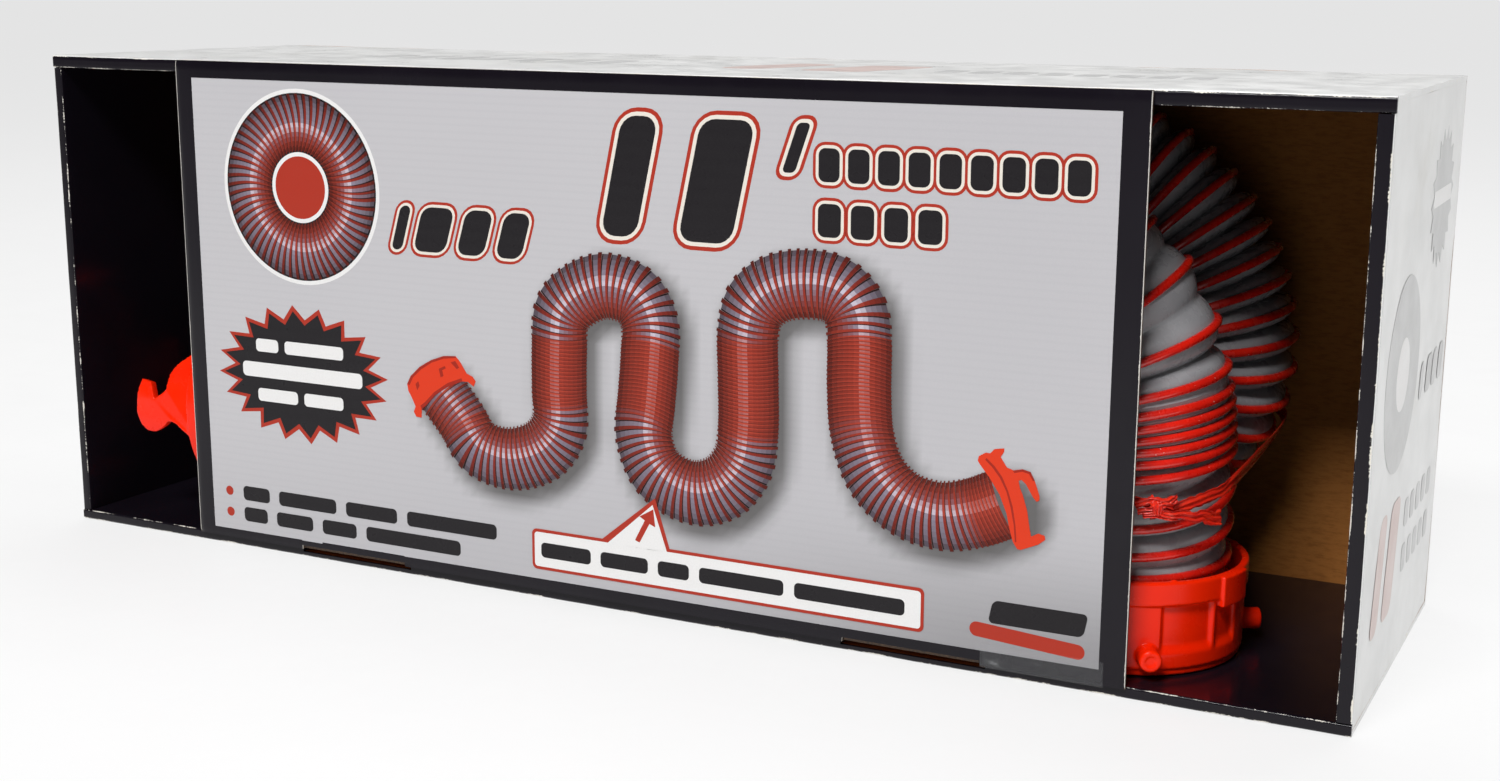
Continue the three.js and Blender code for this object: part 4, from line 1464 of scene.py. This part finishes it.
def bar(x0, z0, x1, z1, radius=0.0, slant=0.0):
    """A rounded bar. slant leans it to the right by that share of its height."""
    corners = [(x0, z0), (x1, z0), (x1, z1), (x0, z1)]
    radius = min(radius, (x1 - x0) * 0.49, (z1 - z0) * 0.49)
    rows = rounded(corners, [radius] * 4, steps=5) if radius else [(x, z, 0) for x, z in corners]
    return [(x + (z - z0) * slant, z) for x, z, _ in rows]


def disc(x, z, radius, steps=28):
    return [(x + radius * math.cos(2 * math.pi * k / steps), z + radius * math.sin(2 * math.pi * k / steps))
            for k in range(steps)]


def burst(x, z, wide, tall, points, inner):
    """A toothed disc. inner is how far its notches reach, as a share of its points' reach."""
    rows = []
    for k in range(2 * points):
        turn = math.pi * k / points + 0.08
        share = 1 if k % 2 == 0 else inner
        rows.append((x + wide * share * math.cos(turn), z + tall * share * math.sin(turn)))
    return rows


def outlined_block(printing, x0, z0, x1, z1, radius, slant, line=1.5, inks=None):
    """A block standing for a letter: black, with a pale line and a red line round it."""
    red, cream, black = inks or (INK_RED, INK_CREAM, INK_BLACK)
    for grow, material, layer in ((2 * line, red, 1), (line, cream, 2), (0, black, 3)):
        shift = -grow * slant
        rows = bar(x0 - grow, z0 - grow, x1 + grow, z1 + grow, radius + grow, slant)
        printing.shape([(x + shift, z) for x, z in rows], material, layer)


def words(printing, x, z, height, widths, gap, material, layer):
    """A row of rounded bars, each standing for a word."""
    for width in widths:
        printing.shape(bar(x, z, x + width, z + height, height * 0.3), material, layer)
        x += width + gap


# The line of the printed hose, in millimetres.
PICTURE_ROUTE = [
    (-91.8, 94.5), (-80.2, 81.3), (-71.4, 69.7), (-53.6, 66.1), (-35.2, 72.5), (-26.3, 84.3),
    (-26.0, 101.7), (-25.6, 120.2), (-24.0, 136.9), (-15.7, 145.7), (-0.9, 151.4), (15.0, 147.7),
    (21.5, 137.5), (21.4, 119.1), (19.7, 100.8), (18.3, 84.7), (24.1, 70.6), (34.9, 63.7),
    (47.5, 62.3), (60.0, 67.7), (68.4, 79.1), (70.7, 93.7), (70.6, 115.8), (70.5, 137.7),
    (73.8, 148.9), (83.3, 156.5), (97.3, 159.7), (111.7, 158.3), (120.5, 150.5), (122.6, 138.0),
    (122.9, 116.7), (124.7, 97.5), (131.4, 81.0), (144.0, 70.4), (160.7, 67.0), (176.0, 70.3),
    (188.0, 75.7),
]
PICTURE_HALF = 14.8
# Bead, groove and wall: where each lies in one turn, and its tones closed up, drawn out, and in the light.
PICTURE_PARTS = ((0.0, 0.36), (0.36, 0.48), (0.48, 1.0))
PICTURE_TONES = (
    ((0.37, 0.042, 0.022), (0.22, 0.022, 0.013), (0.10, 0.03, 0.02)),
    ((0.10, 0.012, 0.008), (0.022, 0.010, 0.010), (0.0, 0.0, 0.0)),
    ((0.25, 0.027, 0.015), (0.215, 0.185, 0.235), (0.40, 0.38, 0.40)),
)
PICTURE_LINE = smooth_route([(x * MM, z * MM, 0) for x, z in PICTURE_ROUTE], 8)[:, :2]
PICTURE_LOW, PICTURE_HIGH = PICTURE_LINE.min(0), PICTURE_LINE.max(0)


PICTURE_PITCH = (1.75, 3.25)  # closed up and drawn out


def striped_hose(name, route, half, surface, body, layer, closed=False):
    """A printed hose: bands of bead and wall across its line, with light and shade in their colours."""
    raw = np.array(route)
    if not closed:
        raw = smooth_route([(x, z, 0) for x, z in route], 30)[:, :2]
    along = np.concatenate([[0], np.cumsum(np.linalg.norm(np.diff(raw, axis=0), axis=1))])
    s = np.linspace(0, along[-1], 900)
    at = np.stack([np.interp(s, along, raw[:, k]) for k in range(2)], axis=1)
    tangent = np.gradient(at, s, axis=0)
    tangent /= np.linalg.norm(tangent, axis=1)[:, None]
    bend = np.gradient(np.unwrap(np.arctan2(tangent[:, 1], tangent[:, 0])), s)
    bend = np.convolve(bend, np.ones(31) / 31, "same")
    open_share = smoothstep(np.abs(bend), 0.010, 0.024)
    if not closed:
        open_share = np.maximum(open_share, 0.75 * (1 - smoothstep(s, 14, 24)))
    shut_pitch, open_pitch = PICTURE_PITCH
    pitch = shut_pitch + (open_pitch - shut_pitch) * open_share
    turns = np.concatenate([[0], np.cumsum((1 / pitch[1:] + 1 / pitch[:-1]) / 2 * np.diff(s))])
    count = int(turns[-1])
    turns *= count / turns[-1]
    lanes = np.linspace(-1, 1, 13)
    middle_lanes = (lanes[:-1] + lanes[1:]) / 2
    glow = np.exp(-(((middle_lanes + 0.15) / 0.3) ** 2))
    spark = np.exp(-(((middle_lanes + 0.15) / 0.12) ** 2))
    dark = np.abs(middle_lanes) ** 2.5
    points, faces, colours = [], [], []
    for n in range(count):
        opened = float(np.interp(n + 0.5, turns, open_share))
        outer = np.sign(np.interp(n + 0.5, turns, bend))
        for part, (low, high) in enumerate(PICTURE_PARTS):
            start = len(points)
            for share in (low, high):
                here = np.interp(n + share, turns, s)
                wide = half * (1 + (0.02 if part == 0 else -0.035) * (0.3 + 0.7 * opened))
                for lane in lanes:
                    place = here + half * 0.13 * (lane * lane - 1)
                    place = place % s[-1] if closed else place
                    centre = [np.interp(place, s, at[:, k]) for k in range(2)]
                    across = [np.interp(here, s, tangent[:, 1]), -np.interp(here, s, tangent[:, 0])]
                    x, z = centre[0] + across[0] * lane * wide, centre[1] + across[1] * lane * wide
                    points.append(surface(x * MM, z * MM, (layer + (0.5 if part == 0 else 0)) * LAYER))
            size = len(lanes)
            for k in range(size - 1):
                faces.append((start + k, start + k + 1, start + size + k + 1, start + size + k))
                spread = opened * float(smoothstep(middle_lanes[k] * outer, -0.85, 0.1))
                shut, open_tone, shine = PICTURE_TONES[part]
                tone = np.array(shut) * (1 - spread) + np.array(open_tone) * spread
                tone = tone * (1 - 0.75 * dark[k]) * (1 + 0.35 * glow[k])
                tone = tone + np.array(shine) * spark[k] * (0.35 + 0.65 * spread)
                colours.append((*tone, 1.0))
    made = new_object(name, points, faces, [PICTURE])
    tones = made.data.attributes.new("tones", "FLOAT_COLOR", "CORNER")
    tones.data.foreach_set("color", [c for colour in colours for _ in range(4) for c in colour])
    attach(made, body)


def turned_shape(rows, x, z, degrees):
    """Rows turned about the origin and then moved to (x, z)."""
    c, s = math.cos(math.radians(degrees)), math.sin(math.radians(degrees))
    return [(x + u * c - v * s, z + u * s + v * c) for u, v in rows]


def print_title(p):
    for x0, x1 in ((-3, 15), (36, 62)):
        outlined_block(p, x0, 174, x1, 227, 7, 0.22, 1.8)
    outlined_block(p, 86, 206, 92, 227, 2, 0.35, 1.6)
    for count, pitch, width, foot in ((9, 13.4, 9.6, 203), (4, 15, 10.5, 180)):
        for k in range(count):
            x = 103 + pitch * k
            outlined_block(p, x, foot, x + width, foot + 14, 3, 0, 1.3)
    x = -118
    for width in (6, 18, 15, 14):
        outlined_block(p, x, 160, x + width, 181, 5, 0.3, 1.3)
        x += width + 6.5


def print_badge(p):
    p.shape(burst(-175, 94, 52.5, 34.5, 20, 0.8), INK_RED, 1)
    p.shape(burst(-175, 94, 49, 31.5, 20, 0.79), INK_BLACK, 2)
    lines = ((-203, 103.5, 6.5, (14, 36)), (-212, 90.5, 7.5, (74,)), (-203, 78.5, 6.5, (25, 24)))
    for x, z, height, widths in lines:
        words(p, x, z, height, widths, 4, INK_WHITE, 3)


def print_points(p):
    for z, widths in ((25.6, (17, 36, 31, 52)), (14.6, (15, 23, 21, 56))):
        p.shape(disc(-225, z + 3.8, 2.4), INK_RED, 1)
        words(p, -216, z, 7.4, widths, 6, INK_BLACK, 1)


def print_callout(p):
    p.shape([(-6, 32.6), (24, 57), (32, 32.6)], INK_RED, 4)
    p.shape(bar(-42, 15.0, 154.5, 34.4, 2.5), INK_RED, 5)
    p.shape(bar(-40.6, 16.4, 153.1, 33.0, 1.6), INK_WHITE, 6)
    p.shape([(-1.2, 32.6), (22.8, 53.8), (30.2, 32.6)], INK_WHITE, 6)
    arrow = [(13.6, 36.2), (16, 35.4), (21.2, 44.8), (24.2, 43.6), (23.2, 51.8), (16, 47.6), (18.8, 46.1)]
    p.shape(arrow, INK_RED, 7)
    words(p, -37, 21, 7.2, (27, 25, 16, 42, 52), 5.2, INK_BLACK, 7)


def print_mark(p):
    p.shape(turned_shape(bar(-25, -3.2, 25, 3.2, 3.2), 200, 19, -4), INK_RED, 1)
    p.shape(bar(183, 24, 224, 34, 2.5, 0.2), INK_BLACK, 1)


EMBLEM_AT = (-171, 186)
EMBLEM_RADIUS, EMBLEM_HALF = 31, 13.5  # of the ring of hose, and half its width


def print_emblem(p):
    rings = ((47, 72, INK_WHITE), (45, 72, INK_BLACK), (17, 48, INK_WHITE), (15, 48, INK_RED))
    for layer, (radius, steps, material) in enumerate(rings, 1):
        p.shape(disc(*EMBLEM_AT, radius, steps), material, layer)


# The picture's two fittings, as (x, z) outlines in millimetres.
LUG_PICTURE = [
    (-111.2, 96.0), (-109.1, 100.0), (-103.7, 104.9), (-97.0, 108.8), (-89.8, 111.4), (-83.0, 112.0),
    (-80.3, 109.3), (-76.9, 104.3), (-73.5, 103.0), (-71.9, 101.0), (-73.0, 98.5), (-76.1, 100.4),
    (-79.3, 100.3), (-87.1, 97.3), (-95.0, 92.2), (-100.4, 86.7), (-103.1, 84.8), (-103.5, 80.4),
    (-106.5, 80.6), (-107.8, 82.9), (-106.7, 85.5), (-108.8, 89.7), (-110.7, 92.8),
]
LUG_PICTURE_RIM = [
    (-111.2, 96.0), (-109.1, 100.0), (-103.7, 104.9), (-97.0, 108.8), (-89.8, 111.4), (-83.0, 112.0),
    (-82.5, 111.2), (-89.5, 110.3), (-96.4, 107.8), (-102.8, 103.9), (-107.8, 99.4), (-109.8, 95.6),
]
LUG_PICTURE_FOOT = [
    (-79.3, 100.3), (-87.1, 97.3), (-95.0, 92.2), (-100.4, 86.7), (-103.1, 84.8), (-103.8, 86.2),
    (-101.1, 88.2), (-95.7, 93.5), (-87.8, 98.7), (-79.8, 101.8),
]
LUG_PICTURE_MARKS = [
    [(-92.6, 105.1), (-89.1, 106.7), (-88.6, 105.7), (-90.7, 104.6), (-90.0, 101.9), (-91.6, 101.1)],
    [(-85.7, 108.8), (-83.1, 109.7), (-80.9, 106.7), (-82.2, 105.9)],
    [(-106.3, 96.5), (-104.7, 97.9), (-104.0, 95.8), (-105.4, 93.6)],
]
BAYONET_PICTURE = [
    (176.6, 92.6), (177.0, 94.5), (179.9, 96.3), (181.8, 96.2), (183.7, 98.2), (187.8, 99.0),
    (187.8, 97.6), (186.4, 95.2), (189.2, 91.1), (192.2, 90.3), (195.9, 91.2), (199.3, 90.5),
    (201.2, 87.1), (203.5, 80.8), (203.4, 79.0), (202.3, 78.5), (200.8, 80.1), (197.6, 85.2),
    (195.7, 86.8), (194.4, 86.3), (195.0, 83.4), (196.3, 80.6), (198.4, 74.3), (199.7, 67.1),
    (200.5, 63.5), (203.5, 65.2), (206.2, 64.6), (206.6, 63.0), (203.7, 60.6), (196.3, 57.3),
    (194.8, 57.5), (192.9, 60.2), (191.1, 65.9), (189.8, 71.7), (186.5, 79.4), (181.8, 86.2),
    (177.8, 90.9),
]
BAYONET_PICTURE_GROOVE = [
    (180.4, 94.1), (183.9, 91.2), (187.4, 86.9), (190.2, 81.3), (192.3, 75.0), (193.7, 67.7),
    (194.4, 60.4), (193.8, 60.3), (193.0, 67.6), (191.4, 74.8), (189.4, 81.1), (186.5, 86.4),
    (183.0, 90.6), (179.9, 93.3),
]
BAYONET_PICTURE_SHADE = [
    (191.9, 90.2), (195.9, 91.2), (199.3, 90.5), (201.2, 87.1), (200.5, 86.9), (198.8, 89.6),
    (195.9, 90.3), (192.5, 89.3),
]


def print_fittings(p):
    p.shape(LUG_PICTURE, INK_ORANGE, 5)
    for shade in (LUG_PICTURE_RIM, LUG_PICTURE_FOOT, *LUG_PICTURE_MARKS):
        p.shape(shade, INK_SHADE, 6)
    p.shape(BAYONET_PICTURE, INK_ORANGE, 5)
    for shade in (BAYONET_PICTURE_GROOVE, BAYONET_PICTURE_SHADE):
        p.shape(shade, INK_SHADE, 6)


def make_panel_print():
    p = Printing(on_panel)
    for draw in (print_title, print_badge, print_points, print_mark, print_emblem):
        draw(p)
    p.finished("panel_lettering", "front_panel")
    striped_hose("panel_picture", PICTURE_ROUTE, PICTURE_HALF, on_panel, "front_panel", 3)
    x, z = EMBLEM_AT
    ring = [(x + EMBLEM_RADIUS * math.cos(t), z + EMBLEM_RADIUS * math.sin(t))
            for t in np.linspace(0, 2 * math.pi, 240)]
    striped_hose("panel_emblem", ring, EMBLEM_HALF, on_panel, "front_panel", 3, closed=True)
    p = Printing(on_panel)
    print_fittings(p)
    print_callout(p)
    p.finished("panel_callout", "front_panel")


def make_carton_print():
    """Washed-out print on the carton's top and right end."""
    top, end = cad_box[1].z, cad_box[1].x
    p = Printing(lambda x, z, height: Vector((x, z, top + dented((x, z, top), 2.0) + 0.00006 + height)))
    for k in range(7):
        p.shape(bar(-190 + 22 * k, -20, -176 + 22 * k, 14, 4), INK_PALE_GREY, 1)
    for x0, x1 in ((20, 42), (60, 92)):
        p.shape(bar(x0, -30, x1, 34, 8, 0.2), INK_PALE_RED, 1)
    for k in range(8):
        p.shape(bar(120 + 16 * k, -14, 131 + 16 * k, 8, 3), INK_PALE_GREY, 1)
    p.finished("top_lettering", "carton")
    p = Printing(lambda y, z, height: Vector((end + 0.00012 + height, y, z)))
    p.shape(burst(44, 196, 30, 30, 18, 0.8), INK_PALE_GREY, 1)
    p.shape(bar(20, 193, 68, 200, 2), INK_WHITE, 2)
    p.shape(disc(-30, 132, 40, 48), INK_PALE_GREY, 1)
    p.shape(disc(-30, 132, 15, 36), INK_WHITE, 2)
    for k, width in enumerate((8, 14, 12, 12)):
        p.shape(bar(18 + 17 * k, 112, 18 + 17 * k + width, 128, 4, 0.2), INK_PALE_GREY, 1)
    for y0, y1 in ((-66, -50), (-40, -18)):
        p.shape(bar(y0, 30, y1, 78, 6, 0.2), INK_PALE_RED, 1)
    for row in (60, 40):
        for k in range(5):
            p.shape(bar(4 + 15 * k, row, 14 + 15 * k, row + 12, 3), INK_PALE_GREY, 1)
    p.finished("end_lettering", "carton")


# ---------------------------------------------------------------- tape and tabs

TAPE_THICKNESS = 0.00008
TAPE_CLEARANCE = 0.00022  # from the panel's face


def make_tape():
    """A strip of clear tape over the panel's lower edge, turned under it."""
    low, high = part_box("tape_seal")
    xs = [low.x + (high.x - low.x) * k / 22 for k in range(23)]
    front = [low.z + 0.0006 + (high.z - low.z - 0.0006) * k / 6 for k in range(7)]
    rows = []
    for x in xs:
        ragged = 0.0006 * wobble((x, 0, 0), 0.004, 3.0)
        lift = []
        for z in reversed(front):
            bubble = 0.00012 * (1 + wobble((x, 0, z), 0.008, 4.0))
            lift.append((panel_face(x, max(z, panel_low.z)) - TAPE_CLEARANCE - bubble, z))
        lift[0] = (lift[0][0], lift[0][1] + ragged)
        under = [(low.y + 0.0003, low.z + 0.0001), (panel_low.y + 0.0008, low.z), (high.y, low.z)]
        rows.append(lift + under)
    points = []
    for thickness in (0.0, TAPE_THICKNESS):
        for x, row in zip(xs, rows):
            points += [(x, y - thickness, z - thickness * 0.5) for y, z in row]
    faces = sheet_faces(len(xs), len(rows[0]))
    piece("tape_strip", points, faces, [TAPE], "front_panel", "clear_tape", ["tape_seal"])


def make_tab(side):
    """A tuck tab: crushed board with cut corners."""
    node = ("left" if side < 0 else "right") + "_tuck_tab"
    low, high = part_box(node)
    corner = 0.005
    flat = [(low.x, low.y), (high.x, low.y), (high.x, high.y - corner), (high.x - corner, high.y),
            (low.x + corner, high.y), (low.x, high.y - corner)]
    flat = [Vector(row[:2]) for row in rounded(flat, [0.0004, 0.0004, 0.002, 0.002, 0.002, 0.002], steps=3)]
    verts, found = filled(flat, 0.004)
    count = len(verts)
    points = []
    for level in (high.z, low.z):
        for v in verts:
            points.append((v.x, v.y, level + 0.00006 * wobble((v.x, v.y, 0), 0.01, side)))
    faces = [tuple(face) for face in found] + [tuple(count + k for k in reversed(face)) for face in found]
    ring = {(a, b) for face in found for a, b in zip(face, face[1:] + face[:1])}
    faces += [(b, a, count + a, count + b) for a, b in ring if (b, a) not in ring]
    made = piece(node + "_board", points, faces, [BLACK, KRAFT, CUT], node, "black_print", [node])
    paint(made, lambda n, c: 0 if n.z > 0.6 else (1 if n.z < -0.6 else 2))
    sharp_over(made, BOARD_CREASE)


def make_floor():
    reach = 60.0
    corners = [(-reach, -reach, 0), (reach, -reach, 0), (reach, reach, 0), (-reach, reach, 0)]
    floor = new_object("studio_floor", corners, [(0, 1, 2, 3)], [FLOOR])
    floor.location.z = -0.0003


# ---------------------------------------------------------------- the whole object

make_camera()
light_the_scene()
hose_line, hose, hose_bead = make_hose()
lug_frame, bayonet_frame = lug_axis(), bayonet_axis()
bayonet_ring = make_bayonet_ring(bayonet_frame)
bayonet_collar = make_swivel("bayonet", BAYONET, bayonet_frame)
make_gasket(bayonet_frame)
make_lug_ring(lug_frame)
make_swivel("lug", LUG, lug_frame)
[tuple(p) for p in hose_line.at[::6]]
make_ribbon()
make_carton()
make_front_panel()
make_panel_print()
make_carton_print()
make_tape()
for tab_side in (-1, 1):
    make_tab(tab_side)
make_floor()
